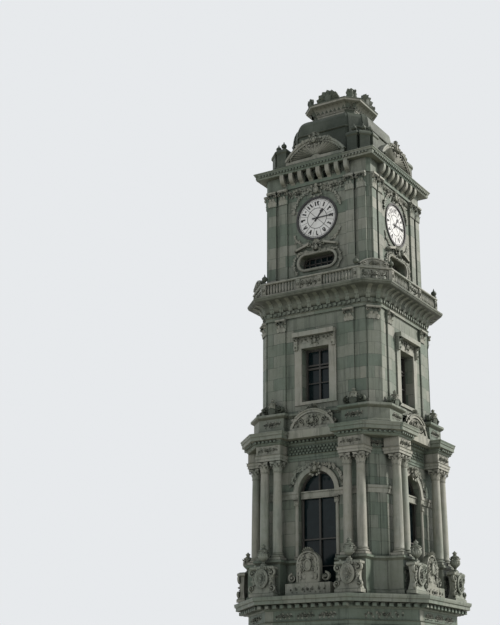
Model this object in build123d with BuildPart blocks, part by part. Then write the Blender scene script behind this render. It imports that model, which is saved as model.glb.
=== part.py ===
from build123d import *
from math import atan2, cos, degrees, hypot, radians, sin, sqrt
import os

# A four-sided clock tower of cut stone, 27 m tall, in millimetres.
# +Z is up and the origin is the middle of the base at ground level.
# Every storey is a square with cut corners: face is the distance from the axis to
# the wall, and edge is half the length of the wall's flat part.

TURNS = (0, 90, 180, 270)

# Heights, storey by storey, and the levels that they add up to
step_rise = 180
step_count = 4
ground_wall_height = 4530
ground_frieze_height = 590
ground_cornice_height = 510
pedestal_height = 1330
first_column_height = 3610
first_frieze_height = 570
first_cornice_height = 490
attic_height = 750
second_pilaster_height = 3770
second_frieze_height = 330
balcony_slab_height = 550
clock_wall_height = 4650
clock_frieze_height = 580
clock_cornice_height = 420
parapet_height = 880
roof_height = 2410
neck_height = 250
crown_height = 440
crest_height = 500

ground_floor = step_rise * step_count
ground_wall_top = ground_floor + ground_wall_height
ground_frieze_top = ground_wall_top + ground_frieze_height
first_floor = ground_frieze_top + ground_cornice_height
pedestal_top = first_floor + pedestal_height
first_wall_top = pedestal_top + first_column_height
first_frieze_top = first_wall_top + first_frieze_height
second_floor = first_frieze_top + first_cornice_height
attic_top = second_floor + attic_height
second_wall_top = attic_top + second_pilaster_height
second_frieze_top = second_wall_top + second_frieze_height
balcony_floor = second_frieze_top + balcony_slab_height
clock_wall_top = balcony_floor + clock_wall_height
clock_frieze_top = clock_wall_top + clock_frieze_height
roof_deck = clock_frieze_top + clock_cornice_height
roof_top = roof_deck + roof_height
neck_top = roof_top + neck_height
crown_lip = neck_top + crown_height

# Plan of the steps and the ground storey
base_half = 4250
step_tread = 235
base_edge = 1975
ground_face = 3400
ground_edge = 1620
ground_wall = 700
plinth_top = ground_floor + 720
plinth_proud = 110
ground_pilaster_x = 1290
ground_pilaster_width = 420
corner_pilaster_width = 900
pilaster_proud = 85

# Plan of the first storey, with its paired columns
first_face = 2564
first_edge = 2070
first_wall = 500
column_out = 2930
column_inner_x = 1440
column_outer_x = 1980
column_radius = 178
column_neck = 152
column_foot_half = 232
column_foot_height = 110
column_ring_height = 150
collar_proud = 18
collar_height = 60
capital_height = 370
abacus_height = 80
abacus_half = 246
column_sides = 16
ornament_sides = 8
course_proud = 120
block_overhang = 12

# Plan of the second storey, the clock storey and the roof
second_face = 2530
second_edge = 2090
second_wall = 460
second_pilaster_x = 1460
second_pilaster_width = 360
second_pilaster_proud = 62
second_corner_pilaster = 480
clock_face = 2283
clock_edge = 2180
clock_wall = 450
clock_bay = 1450
clock_pilaster_inner_x = 1485
clock_pilaster_outer_x = 1990
clock_pilaster_width = 350
clock_pilaster_proud = 78
roof_face = 1750
roof_edge = 1050
neck_face = 960
neck_edge = 620

# Openings
door_half = 900
door_jamb = 150
door_spring = ground_floor + 2900
ground_sill = ground_floor + 1100
arch_half = 755
arch_spring = pedestal_top + 2440
arch_sill = first_floor + 270
window_half = 584
window_sill = attic_top + 410
window_height = 2080
window_head = window_sill + window_height
oval_half = 780
oval_height = 560
oval_middle = balcony_floor + 1390
dial_middle = balcony_floor + 3170
dial_radius = 846
vent_width = 180
vent_height = 300
vent_pitch = 410
vent_count = 3

# Joinery, glass and small gaps
frame_depth = 90
frame_bar = 70
arch_transom = 240
glass_thick = 12
frame_setback = 310
arch_frame_setback = 210
door_leaf_thick = 70
door_gap = 8
joint_gap = 3
joint_reach = 1500

# Dials and hands
dial_thick = 60
dial_rim_width = 62
dial_rim_proud = 45
hand_thick = 8
hand_gap = 10
hour_length = 463
minute_length = 740
hour_shaft_half = 27
hour_spade_half = 76
hour_spade_start = 250
hour_tail = 150
minute_shaft_half = 22
minute_spade_half = 55
minute_spade_start = 540
minute_tail = 210
hour_pipe_radius = 20
arbor_radius = 11
pin_gap = 0.4
arbor_length = 150
minute_at_rest = 14.8
hub_radius = 55
minute_hub_radius = 45

# Balcony
balcony_face = 3040
balcony_edge = 2080
baluster_radius = 46
baluster_neck = 24
baluster_sides = 6
baluster_pitch = 132
rail_height = 80
rail_depth = 170
balcony_rise = 560
post_width = 190
corner_post_width = 120
centre_panel_half = 470
corner_panel_foot = 50
corner_panel_rise = 280
pierced_thick = 90
pierced_inset = 40

floor_thick = 220


def corner_reach(face, edge):
    """Distance from the axis to the cut corner."""
    return (face + edge) / sqrt(2)


def side_plane(turn, out):
    """Upright plane on one side of the tower, seen from outside: x to the right, y up."""
    angle = radians(turn)
    return Plane(
        origin=(out * sin(angle), -out * cos(angle), 0),
        x_dir=(cos(angle), sin(angle), 0),
        z_dir=(sin(angle), -cos(angle), 0),
    )


def octagon(face, edge, mode=Mode.ADD):
    """Plan of a storey, drawn in the sketch that calls it."""
    with BuildSketch(mode=Mode.PRIVATE) as plan:
        Rectangle(2 * face, 2 * face)
        chamfer(plan.vertices(), face - edge)
    add(plan.sketch, mode=mode)


def draw_profile(reach, profile):
    """Half section from the axis: profile holds (out, height, bulge) up the outside."""
    first_out, first_height, _ = profile[0]
    last_height = profile[-1][1]
    with BuildLine(mode=Mode.PRIVATE) as outline:
        here = (reach + first_out, first_height)
        Line((0, first_height), here)
        for out, height, bulge in profile[1:]:
            there = (reach + out, height)
            if bulge:
                SagittaArc(here, there, bulge)
            else:
                Line(here, there)
            here = there
        Line(here, (0, last_height))
        Line((0, last_height), (0, first_height))
    make_face(outline.edges())
    mirror(about=Plane.YZ)


def moulded_block(half_x, half_y, profile, corner=None):
    """A block whose sides all follow one moulding, with the corners cut when asked."""
    length = 4 * max(half_x, half_y)
    with BuildPart() as block:
        with BuildSketch(Plane.XZ):
            draw_profile(half_x, profile)
        extrude(amount=length, both=True)
        with BuildSketch(Plane.YZ):
            draw_profile(half_y, profile)
        extrude(amount=length, both=True, mode=Mode.INTERSECT)
        if corner:
            for turn in (45, 135):
                with BuildSketch(side_plane(turn, 0)):
                    draw_profile(corner, profile)
                extrude(amount=length, both=True, mode=Mode.INTERSECT)
    return block.part


def moulded_storey(face, edge, profile):
    return moulded_block(face, face, profile, corner_reach(face, edge))


def cut_well(face, edge, low, high):
    """Hollow out the part in hand between two levels."""
    with BuildSketch(Plane.XY.offset(low)) as well:
        octagon(face, edge)
    extrude(well.sketch, amount=high - low, mode=Mode.SUBTRACT)


def cut_joints(face, edge, well_face, well_edge, low, high):
    """Open the mortar joints of a moulded ring, from the corners of its well outward."""
    slope = degrees(atan2(edge - well_edge, face - well_face))
    run = hypot(edge - well_edge, face - well_face)
    past_well = 10 * joint_gap
    for turn in TURNS:
        for side in (-1, 1):
            corner = Location((side * well_edge, -well_face, 0), (0, 0, side * slope))
            with BuildSketch(Plane.XY.offset(low)) as joint:
                with Locations(Location((0, 0, 0), (0, 0, turn)) * corner):
                    with Locations((0, (past_well - run - joint_reach) / 2)):
                        Rectangle(joint_gap, run + joint_reach + past_well)
            extrude(joint.sketch, amount=high - low, mode=Mode.SUBTRACT)


def turned_block(profile, sides):
    """Turned ornament with an even number of flat sides: profile holds (radius, height)."""
    flat = cos(radians(180 / sides))
    section = [(flat * radius, height, 0) for radius, height in profile]
    length = 2 * max(radius for radius, _ in profile)
    with BuildPart() as block:
        for count in range(sides // 2):
            with BuildSketch(side_plane(360 * count / sides, 0)):
                draw_profile(0, section)
            extrude(amount=length, both=True, mode=Mode.INTERSECT if count else Mode.ADD)
    return block.part


def save(piece, name):
    piece.part.label = name
    export_step(piece.part, "parts/" + name + ".step")


os.makedirs("parts", exist_ok=True)

# Base steps
with BuildPart() as base_steps:
    for step in range(step_count):
        with BuildSketch(Plane.XY.offset(step * step_rise)):
            octagon(base_half - step * step_tread, base_edge - step * step_tread * (sqrt(2) - 1))
        extrude(amount=step_rise)
save(base_steps, "base_steps")


def bay_half(edge, wall):
    """Half length of the straight wall between two corner piers as thick as the sides."""
    return edge - wall * (sqrt(2) - 1)


def build_piers(face, edge, well, bay, low, high):
    """Corner piers between the outside of a storey and its well."""
    with BuildPart() as piers:
        with BuildSketch(Plane.XY.offset(low)):
            octagon(face, edge)
            octagon(well, bay, mode=Mode.SUBTRACT)
            Rectangle(2 * bay, 3 * face, mode=Mode.SUBTRACT)
            Rectangle(3 * face, 2 * bay, mode=Mode.SUBTRACT)
        extrude(amount=high - low)
    return piers


def arch_outline(half, low, spring):
    """Upright opening with a round head, drawn in the sketch that calls it."""
    with Locations((0, (low + spring) / 2)):
        Rectangle(2 * half, spring - low)
    with Locations((0, spring)):
        Circle(half)


def ground_window(inset):
    arch_outline(door_half - inset, ground_sill + inset, door_spring)


def doorway(inset):
    arch_outline(door_half - inset, ground_floor, door_spring)


def first_window(inset):
    arch_outline(arch_half - inset, arch_sill + inset, arch_spring)


def second_window(inset):
    with Locations((0, (window_sill + window_head) / 2)):
        Rectangle(2 * (window_half - inset), window_height - 2 * inset)


def clock_window(inset):
    with Locations((0, oval_middle)):
        SlotOverall(2 * (oval_half - inset), oval_height - 2 * inset)


def dial_seat(inset):
    with Locations((0, dial_middle)):
        Circle(dial_radius - inset)


def curved_slab(half, low, foot, rise):
    """Upright slab with a curved top over a straight foot, drawn in the sketch that calls it."""
    with BuildSketch(mode=Mode.PRIVATE) as outline:
        with BuildLine():
            Polyline((-half, low + foot), (-half, low), (half, low), (half, low + foot))
            ThreePointArc((half, low + foot), (0, low + foot + rise), (-half, low + foot))
        make_face()
    add(outline.sketch)


def outline_of(draw, inset=0):
    """An outline of its own, ready to be taken out of the sketch in hand."""
    with BuildSketch(mode=Mode.PRIVATE) as outline:
        draw(inset)
    return outline.sketch


def add_bay(turn, face, bay, wall, low, high, *holes):
    """Straight stretch of wall between two corner piers, with its openings cut through."""
    with BuildSketch(side_plane(turn, face)) as elevation:
        with Locations((0, (low + high) / 2)):
            Rectangle(2 * bay, high - low)
        for hole in holes:
            add(hole, mode=Mode.SUBTRACT)
    extrude(elevation.sketch, amount=-wall)


# Ground storey walls, with the doorway in front and windows on the other sides
ground_well = ground_face - ground_wall
ground_bay = bay_half(ground_edge, ground_wall)
with BuildPart() as ground_walls:
    for turn in TURNS:
        hole = outline_of(ground_window if turn else doorway)
        add_bay(turn, ground_face, ground_bay, ground_wall, ground_floor, ground_wall_top, hole)
save(ground_walls, "ground_walls")

ground_piers = build_piers(ground_face, ground_edge, ground_well, ground_bay, ground_floor, ground_wall_top)
save(ground_piers, "ground_piers")

plinth_profile = [
    (0, ground_floor, 0),
    (plinth_proud, ground_floor, 0),
    (plinth_proud, plinth_top - 140, 0),
    (plinth_proud - 50, plinth_top - 60, 0),
    (0, plinth_top, 0),
]
plinth_block = moulded_storey(ground_face, ground_edge, plinth_profile)
with BuildPart() as ground_plinth:
    add(plinth_block)
    cut_well(ground_face, ground_edge, ground_floor, plinth_top)
    plinth_edge = ground_edge + plinth_proud * (sqrt(2) - 1)
    cut_joints(ground_face + plinth_proud, plinth_edge, ground_face, ground_edge, ground_floor, plinth_top)
    with BuildSketch(side_plane(0, ground_face)):
        with Locations((0, ground_floor)):
            Rectangle(2 * (door_half + door_jamb), 4 * plinth_top)
    extrude(amount=2 * plinth_proud, mode=Mode.SUBTRACT)
save(ground_plinth, "ground_plinth")


def add_pilasters(plane, middles, width, proud, low, high, cap, cap_proud):
    """Flat pilasters with base and cap, side by side on one plane."""
    for bottom, top, more in (
        (low, low + cap / 2, cap_proud),
        (low + cap / 2, high - cap, 0),
        (high - cap, high, cap_proud),
    ):
        with BuildSketch(plane) as strips:
            for middle in middles:
                with Locations((middle, (bottom + top) / 2)):
                    Rectangle(width + 2 * more, top - bottom)
        extrude(strips.sketch, amount=proud + more)


ground_cap_height = 260
ground_cap_proud = 30
with BuildPart() as ground_pilasters:
    for turn in TURNS:
        side = side_plane(turn, ground_face)
        corner = side_plane(turn + 45, corner_reach(ground_face, ground_edge))
        for plane, middles, width in (
            (side, (-ground_pilaster_x, ground_pilaster_x), ground_pilaster_width),
            (corner, (0,), corner_pilaster_width),
        ):
            add_pilasters(
                plane, middles, width, pilaster_proud,
                plinth_top, ground_wall_top, ground_cap_height, ground_cap_proud,
            )
save(ground_pilasters, "ground_pilasters")

frieze_profile = [
    (pilaster_proud - 10, ground_wall_top, 0),
    (pilaster_proud - 10, ground_wall_top + 90, 0),
    (pilaster_proud + 15, ground_wall_top + 90, 0),
    (pilaster_proud + 15, ground_wall_top + 190, 0),
    (pilaster_proud + 55, ground_wall_top + 220, 0),
    (pilaster_proud - 20, ground_wall_top + 220, 0),
    (pilaster_proud - 20, ground_frieze_top, 0),
]
frieze_block = moulded_storey(ground_face, ground_edge, frieze_profile)
with BuildPart() as ground_frieze:
    add(frieze_block)
    cut_well(ground_well, ground_bay, ground_wall_top, ground_frieze_top)
    cut_joints(ground_face, ground_edge, ground_well, ground_bay, ground_wall_top, ground_frieze_top)
save(ground_frieze, "ground_frieze")

ground_cornice_out = 570
cornice_profile = [
    (60, ground_frieze_top, 0),
    (110, ground_frieze_top + 60, 0),
    (190, ground_frieze_top + 60, 0),
    (190, ground_frieze_top + 160, 0),
    (240, ground_frieze_top + 215, 20),
    (ground_cornice_out - 60, ground_frieze_top + 215, 0),
    (ground_cornice_out - 60, ground_frieze_top + 330, 0),
    (ground_cornice_out - 20, ground_frieze_top + 345, 0),
    (ground_cornice_out, first_floor - 90, 0),
    (ground_cornice_out, first_floor - 40, 0),
    (ground_cornice_out - 240, first_floor, 0),
]
cornice_block = moulded_storey(ground_face, ground_edge, cornice_profile)
with BuildPart() as ground_cornice:
    add(cornice_block)
    cut_well(ground_well, ground_bay, ground_frieze_top, first_floor)
    cut_joints(ground_face, ground_edge, ground_well, ground_bay, ground_frieze_top, first_floor)
save(ground_cornice, "ground_cornice")


def broken_storey(face, edge, profile, gap_half, back, back_edge, back_profile):
    """Moulded block that stands forward over the corners and back between them."""
    front_block = moulded_storey(face, edge, profile)
    back_block = moulded_storey(back, back_edge, back_profile)
    gap_profile = [(-out, height, -bulge) for out, height, bulge in profile]
    with BuildPart() as block:
        add(front_block)
        for turn in TURNS:
            with BuildSketch(side_plane(turn, back - 200)):
                draw_profile(gap_half, gap_profile)
            extrude(amount=face, mode=Mode.SUBTRACT)
        add(back_block)
    return block.part


def turned(x, out):
    """The four places of a point on the front, one on each side of the tower."""
    return [Location((0, 0, 0), (0, 0, turn)) * Location((x, -out, 0)) for turn in TURNS]


# Plinth of the first storey, open at the four arches
first_plinth_profile = [
    (course_proud, first_floor, 0),
    (course_proud, first_floor + 130, 0),
    (course_proud - 50, first_floor + 190, 0),
    (course_proud - 50, pedestal_top - 170, 0),
    (course_proud, pedestal_top - 120, 0),
    (course_proud + 40, pedestal_top - 90, 0),
    (course_proud + 40, pedestal_top - 20, 0),
    (course_proud + 10, pedestal_top, 0),
]
course_block = moulded_storey(first_face, first_edge, first_plinth_profile)
with BuildPart() as first_plinth:
    add(course_block)
    cut_well(first_face, first_edge, first_floor, pedestal_top)
    for turn in TURNS:
        with BuildSketch(side_plane(turn, first_face - joint_gap)):
            with Locations((0, pedestal_top)):
                Rectangle(2 * arch_half, 3 * pedestal_height)
        extrude(amount=3 * course_proud, mode=Mode.SUBTRACT)
    cut_joints(first_face + course_proud, first_edge, first_face, first_edge, first_floor, pedestal_top)
save(first_plinth, "first_plinth")

# Pedestals under the paired columns
pair_middle = (column_inner_x + column_outer_x) / 2
pair_half = (column_outer_x - column_inner_x) / 2 + column_foot_half
pedestal_back = first_face
pedestal_front = column_out + column_foot_half
pedestal_depth_half = (pedestal_front - pedestal_back) / 2
pedestal_profile = [(out - course_proud + 40, height, bulge) for out, height, bulge in first_plinth_profile]
pedestal_block = moulded_block(pair_half, pedestal_depth_half, pedestal_profile)
with BuildPart() as column_pedestals:
    for side in (-1, 1):
        with Locations(*turned(side * pair_middle, pedestal_back + pedestal_depth_half)):
            add(pedestal_block)
    add(course_block, mode=Mode.SUBTRACT)
save(column_pedestals, "column_pedestals")


def build_column(low, high):
    """Column with a square foot, a moulded base, a slim shaft and a spreading cap."""
    ring_low = low + column_foot_height
    shaft_low = ring_low + column_ring_height
    shaft_high = high - capital_height
    third = (shaft_high - shaft_low) / 3
    torus = column_foot_half - 8
    collar = column_neck + collar_proud
    profile = [
        (torus, ring_low),
        (torus, ring_low + 0.4 * column_ring_height),
        (column_radius + collar_proud, ring_low + 0.6 * column_ring_height),
        (column_radius + collar_proud, ring_low + 0.85 * column_ring_height),
        (column_radius, shaft_low),
        (column_radius, shaft_low + third),
        (column_neck, shaft_high - collar_height),
        (collar, shaft_high - collar_height / 2),
        (collar, shaft_high),
        (column_neck, shaft_high + collar_height / 3),
        (column_neck + collar_proud, shaft_high + 0.4 * capital_height),
        (abacus_half - 12, high - abacus_height),
    ]
    shaft = turned_block(profile, column_sides)
    with BuildPart() as column:
        with BuildSketch(Plane.XY.offset(low)):
            Rectangle(2 * column_foot_half, 2 * column_foot_half)
        extrude(amount=column_foot_height)
        add(shaft)
        with BuildSketch(Plane.XY.offset(high - abacus_height)):
            Rectangle(2 * abacus_half, 2 * abacus_half)
        extrude(amount=abacus_height)
    return column.part


column = build_column(pedestal_top, first_wall_top)
with BuildPart() as first_columns:
    for x in (-column_outer_x, -column_inner_x, column_inner_x, column_outer_x):
        with Locations(*turned(x, column_out)):
            add(column)
save(first_columns, "first_columns")

# First storey walls with their arches
first_well = first_face - first_wall
first_bay = bay_half(first_edge, first_wall)
with BuildPart() as first_walls:
    for turn in TURNS:
        hole = outline_of(first_window)
        add_bay(turn, first_face, first_bay, first_wall, first_floor, first_wall_top, hole)
save(first_walls, "first_walls")

# Band at the spring of the arches, stopped at the openings
impost_height = 270
impost_high = arch_spring + 50
impost_low = impost_high - impost_height
impost_proud = 80
impost_profile = [
    (impost_proud - 45, impost_low, 0),
    (impost_proud - 25, impost_low + 90, 0),
    (impost_proud - 25, impost_low + 150, 0),
    (impost_proud, impost_low + 180, 0),
    (impost_proud, impost_high, 0),
]
impost_block = moulded_storey(first_face, first_edge, impost_profile)
with BuildPart() as impost_band:
    add(impost_block)
    cut_well(first_face, first_edge, impost_low, impost_high)
    for turn in TURNS:
        with BuildSketch(side_plane(turn, first_face - joint_gap)):
            with Locations((0, arch_spring)):
                Rectangle(2 * arch_half, 4 * impost_height)
        extrude(amount=3 * impost_proud, mode=Mode.SUBTRACT)
    cut_joints(first_face + impost_proud, first_edge, first_face, first_edge, impost_low, impost_high)
save(impost_band, "impost_band")

# Corner piers of the first storey, with two flat strips on every cut corner
strip_width = 210
strip_x = 190
strip_proud = 28
first_pier_block = build_piers(first_face, first_edge, first_well, first_bay, first_floor, first_wall_top)
with BuildPart() as first_piers:
    add(first_pier_block.part)
    for turn in TURNS:
        plane = side_plane(turn + 45, corner_reach(first_face, first_edge))
        for low, high in ((pedestal_top, impost_low), (impost_high, first_wall_top)):
            with BuildSketch(plane):
                with Locations((-strip_x, (low + high) / 2), (strip_x, (low + high) / 2)):
                    Rectangle(strip_width, high - low)
            extrude(amount=strip_proud)
save(first_piers, "first_piers")

# Half columns on both sides of each arch
arch_column_radius = 80
arch_column_x = arch_half + arch_column_radius
arch_cap_height = 220
with BuildPart() as arch_columns:
    for turn in TURNS:
        for side in (-1, 1):
            plane = side_plane(turn, first_face)
            for low, high, half in (
                (pedestal_top, pedestal_top + 90, arch_column_radius),
                (impost_low - arch_cap_height, impost_low, arch_column_radius),
            ):
                with BuildSketch(plane):
                    with Locations((side * arch_column_x, (low + high) / 2)):
                        Rectangle(2 * half, high - low)
                extrude(amount=half)
            center = Location((0, 0, 0), (0, 0, turn)) * Location((side * arch_column_x, -first_face, 0))
            with BuildSketch(Plane.XY.offset(pedestal_top + 90)):
                with Locations(center):
                    Circle(arch_column_radius - 14)
                    with Locations((0, arch_column_radius)):
                        Rectangle(4 * arch_column_radius, 2 * arch_column_radius, mode=Mode.SUBTRACT)
            extrude(amount=impost_low - arch_cap_height - pedestal_top - 90)
save(arch_columns, "arch_columns")

# Archivolts with their scrolled keystones
archivolt_reach = 945
archivolt_proud = 70
archivolt_band = 90
archivolt_step = 22
keystone_top = arch_spring + 1020
keystone_foot_half = 85
keystone_head_half = 150
keystone_drop = 10
keystone_proud = 80
with BuildPart() as archivolts:
    for turn in TURNS:
        plane = side_plane(turn, first_face)
        for reach, proud in (
            (archivolt_reach, archivolt_proud),
            (archivolt_reach - archivolt_band, archivolt_proud - archivolt_step),
        ):
            with BuildSketch(plane):
                with Locations((0, arch_spring)):
                    Circle(reach)
                    Circle(arch_half, mode=Mode.SUBTRACT)
                with Locations((0, impost_high - 2 * archivolt_reach)):
                    Rectangle(4 * archivolt_reach, 4 * archivolt_reach, mode=Mode.SUBTRACT)
            extrude(amount=proud)
        with BuildSketch(plane):
            with BuildLine():
                Polyline(
                    (-keystone_foot_half, arch_spring + arch_half - keystone_drop),
                    (keystone_foot_half, arch_spring + arch_half - keystone_drop),
                    (keystone_head_half, keystone_top),
                    (-keystone_head_half, keystone_top),
                    close=True,
                )
            make_face()
        extrude(amount=archivolt_proud + keystone_proud)
save(archivolts, "archivolts")

# Entablature of the first storey
first_frieze_profile = [
    (30, first_wall_top, 0),
    (30, first_wall_top + 100, 0),
    (55, first_wall_top + 100, 0),
    (55, first_wall_top + 190, 0),
    (85, first_wall_top + 215, 0),
    (20, first_wall_top + 215, 0),
    (20, first_frieze_top, 0),
]
first_frieze_block = moulded_storey(first_face, first_edge, first_frieze_profile)
with BuildPart() as first_frieze:
    add(first_frieze_block)
    cut_well(first_well, first_bay, first_wall_top, first_frieze_top)
    cut_joints(first_face, first_edge, first_well, first_bay, first_wall_top, first_frieze_top)
save(first_frieze, "first_frieze")

block_profile = [(out - 30 + block_overhang, height, bulge) for out, height, bulge in first_frieze_profile]
block_block = moulded_block(pair_half, pedestal_depth_half, block_profile)
with BuildPart() as column_blocks:
    for side in (-1, 1):
        with Locations(*turned(side * pair_middle, pedestal_back + pedestal_depth_half)):
            add(block_block)
    add(first_frieze_block, mode=Mode.SUBTRACT)
save(column_blocks, "column_blocks")

first_cornice_face = 3190
first_cornice_edge = 2250
cornice_gap_half = pair_middle - pair_half - 30


def cornice_steps(low, high, out):
    """Bed mould, corona and crowning mould between two levels."""
    rise = high - low
    return [
        (-40, low, 0),
        (20, low + 0.18 * rise, -10),
        (70, low + 0.18 * rise, 0),
        (70, low + 0.34 * rise, 0),
        (out - 60, low + 0.42 * rise, 0),
        (out - 60, low + 0.66 * rise, 0),
        (out - 30, low + 0.7 * rise, 0),
        (out, low + 0.9 * rise, 10),
        (out, low + 0.95 * rise, 0),
        (out - 160, high, 0),
    ]


first_cornice_block = broken_storey(
    first_cornice_face, first_cornice_edge, cornice_steps(first_frieze_top, second_floor, 240),
    cornice_gap_half, first_face + 60, first_edge + 25, cornice_steps(first_frieze_top, second_floor, 330),
)
with BuildPart() as first_cornice:
    add(first_cornice_block)
    cut_well(first_well, first_bay, first_frieze_top, second_floor)
    cut_joints(
        first_cornice_face, first_cornice_edge, first_well, first_bay, first_frieze_top, second_floor,
    )
save(first_cornice, "first_cornice")

# Attic course with pedestals over the column pairs
attic_front = 2900
attic_front_edge = 2290


def attic_steps(low, high, out):
    rise = high - low
    return [
        (0, low, 0),
        (0, low + 0.16 * rise, 0),
        (-35, low + 0.24 * rise, 0),
        (-35, low + 0.76 * rise, 0),
        (out - 30, low + 0.84 * rise, 0),
        (out, low + 0.88 * rise, 0),
        (out, low + 0.97 * rise, 0),
        (out - 20, high, 0),
    ]


attic_block = broken_storey(
    attic_front, attic_front_edge, attic_steps(second_floor, attic_top, 90),
    cornice_gap_half, second_face + 110, second_edge + 45, attic_steps(second_floor, attic_top, 60),
)
with BuildPart() as attic_course:
    add(attic_block)
    cut_well(second_face, second_edge, second_floor, attic_top)
    cut_joints(attic_front, attic_front_edge, second_face, second_edge, second_floor, attic_top)
save(attic_course, "attic_course")

# Carved round-headed panels that stand on the cornice, one in the middle of every side
panel_half = 930
panel_rise = 640
panel_foot = 120
panel_thick = 180
panel_border = 110
panel_sink = 50
panel_out = first_face + 330
with BuildPart() as attic_panels:
    for turn in TURNS:
        plane = side_plane(turn, panel_out)
        with BuildSketch(plane):
            curved_slab(panel_half, second_floor, panel_foot, panel_rise)
        extrude(amount=-panel_thick)
        with BuildSketch(plane):
            curved_slab(
                panel_half - panel_border, second_floor + panel_border,
                panel_foot - panel_border, panel_rise - panel_border,
            )
        extrude(amount=-panel_sink, mode=Mode.SUBTRACT)
save(attic_panels, "attic_panels")

# Second storey
second_well = second_face - second_wall
second_bay = bay_half(second_edge, second_wall)
with BuildPart() as second_walls:
    for turn in TURNS:
        hole = outline_of(second_window)
        add_bay(turn, second_face, second_bay, second_wall, second_floor, second_wall_top, hole)
save(second_walls, "second_walls")

second_piers = build_piers(second_face, second_edge, second_well, second_bay, second_floor, second_wall_top)
save(second_piers, "second_piers")

second_cap_height = 480
second_cap_proud = 26
with BuildPart() as second_pilasters:
    for turn in TURNS:
        side = side_plane(turn, second_face)
        corner = side_plane(turn + 45, corner_reach(second_face, second_edge))
        for plane, middles, width in (
            (side, (-second_pilaster_x, second_pilaster_x), second_pilaster_width),
            (corner, (0,), second_corner_pilaster),
        ):
            add_pilasters(
                plane, middles, width, second_pilaster_proud,
                attic_top, second_wall_top, second_cap_height, second_cap_proud,
            )
save(second_pilasters, "second_pilasters")

# Window surrounds with consoles and hoods
surround_width = 300
surround_proud = 60
surround_half = window_half + surround_width
surround_low = window_sill - 120
surround_high = window_head + 180
hood_low = window_head + 430
hood_high = hood_low + 180
hood_half = 880
hood_out = 260
hood_panel_half = 824
hood_panel_proud = 45
hood_console_x = 794
hood_console_width = 150
hood_console_low = window_head - 60
hood_console_out = 150
with BuildPart() as window_surrounds:
    for turn in TURNS:
        plane = side_plane(turn, second_face)
        with BuildSketch(plane):
            with Locations((0, (surround_low + surround_high) / 2)):
                Rectangle(2 * surround_half, surround_high - surround_low)
            with Locations((0, (window_sill + window_head) / 2)):
                Rectangle(2 * window_half, window_height, mode=Mode.SUBTRACT)
        extrude(amount=surround_proud)
        with BuildSketch(plane):
            with Locations((0, (surround_high + hood_low) / 2)):
                Rectangle(2 * hood_panel_half, hood_low - surround_high)
        extrude(amount=hood_panel_proud)
        with BuildSketch(plane):
            for side in (-1, 1):
                with Locations((side * hood_console_x, (hood_low + hood_console_low) / 2)):
                    Rectangle(hood_console_width, hood_low - hood_console_low)
        extrude(amount=hood_console_out)
        with BuildSketch(plane):
            with Locations((0, (hood_low + hood_high) / 2)):
                Rectangle(2 * hood_half, hood_high - hood_low)
        extrude(amount=hood_out)
save(window_surrounds, "window_surrounds")

# Frieze with consoles, coved balcony slab and balustrade
second_frieze_profile = [
    (second_pilaster_proud, second_wall_top, 0),
    (second_pilaster_proud, second_wall_top + 110, 0),
    (second_pilaster_proud + 40, second_wall_top + 140, 0),
    (second_pilaster_proud - 20, second_wall_top + 140, 0),
    (second_pilaster_proud - 20, second_frieze_top, 0),
]
second_frieze_block = moulded_storey(second_face, second_edge, second_frieze_profile)
with BuildPart() as second_frieze:
    add(second_frieze_block)
    cut_well(second_well, second_bay, second_wall_top, second_frieze_top)
    cut_joints(second_face, second_edge, second_well, second_bay, second_wall_top, second_frieze_top)
save(second_frieze, "second_frieze")

slab_profile = [
    (30, second_frieze_top, 0),
    (90, second_frieze_top + 40, 0),
    (150, second_frieze_top + 230, -20),
    (430, second_frieze_top + 380, 40),
    (560, second_frieze_top + 400, 0),
    (590, second_frieze_top + 430, 0),
    (620, second_frieze_top + 480, 8),
    (620, balcony_floor, 0),
]
clock_well = clock_face - clock_wall
slab_bay = bay_half(second_edge, second_face - clock_well)
slab_block = moulded_storey(second_face, second_edge, slab_profile)
with BuildPart() as balcony_slab:
    add(slab_block)
    cut_well(clock_well, slab_bay, second_frieze_top, balcony_floor)
    cut_joints(second_face, second_edge, clock_well, slab_bay, second_frieze_top, balcony_floor)
save(balcony_slab, "balcony_slab")


# Balustrade in eight lengths: rails, posts, balusters and pierced panels of stone
balcony_rail_top = balcony_floor + balcony_rise
rail_gap_low = balcony_floor + rail_height
rail_gap = balcony_rise - 2 * rail_height
rail_gap_high = rail_gap_low + rail_gap
rail_middle = balcony_face - rail_depth / 2
panel_clear = centre_panel_half - post_width / 2
bay_start = centre_panel_half + post_width / 2
bay_end = balcony_edge - post_width
bay_run = bay_end - bay_start
balusters_in_bay = int(bay_run / baluster_pitch)
end_post_x = balcony_edge - post_width / 2
corner_out = corner_reach(balcony_face, balcony_edge)
corner_half = (balcony_face - balcony_edge) / sqrt(2)
corner_clear = corner_half - corner_post_width
baluster_profile = [
    (baluster_neck, rail_gap_low),
    (baluster_radius, rail_gap_low + 0.3 * rail_gap),
    (baluster_radius, rail_gap_low + 0.42 * rail_gap),
    (baluster_neck, rail_gap_low + 0.8 * rail_gap),
    (0.8 * baluster_radius, rail_gap_high),
]
baluster = turned_block(baluster_profile, baluster_sides)


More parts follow.
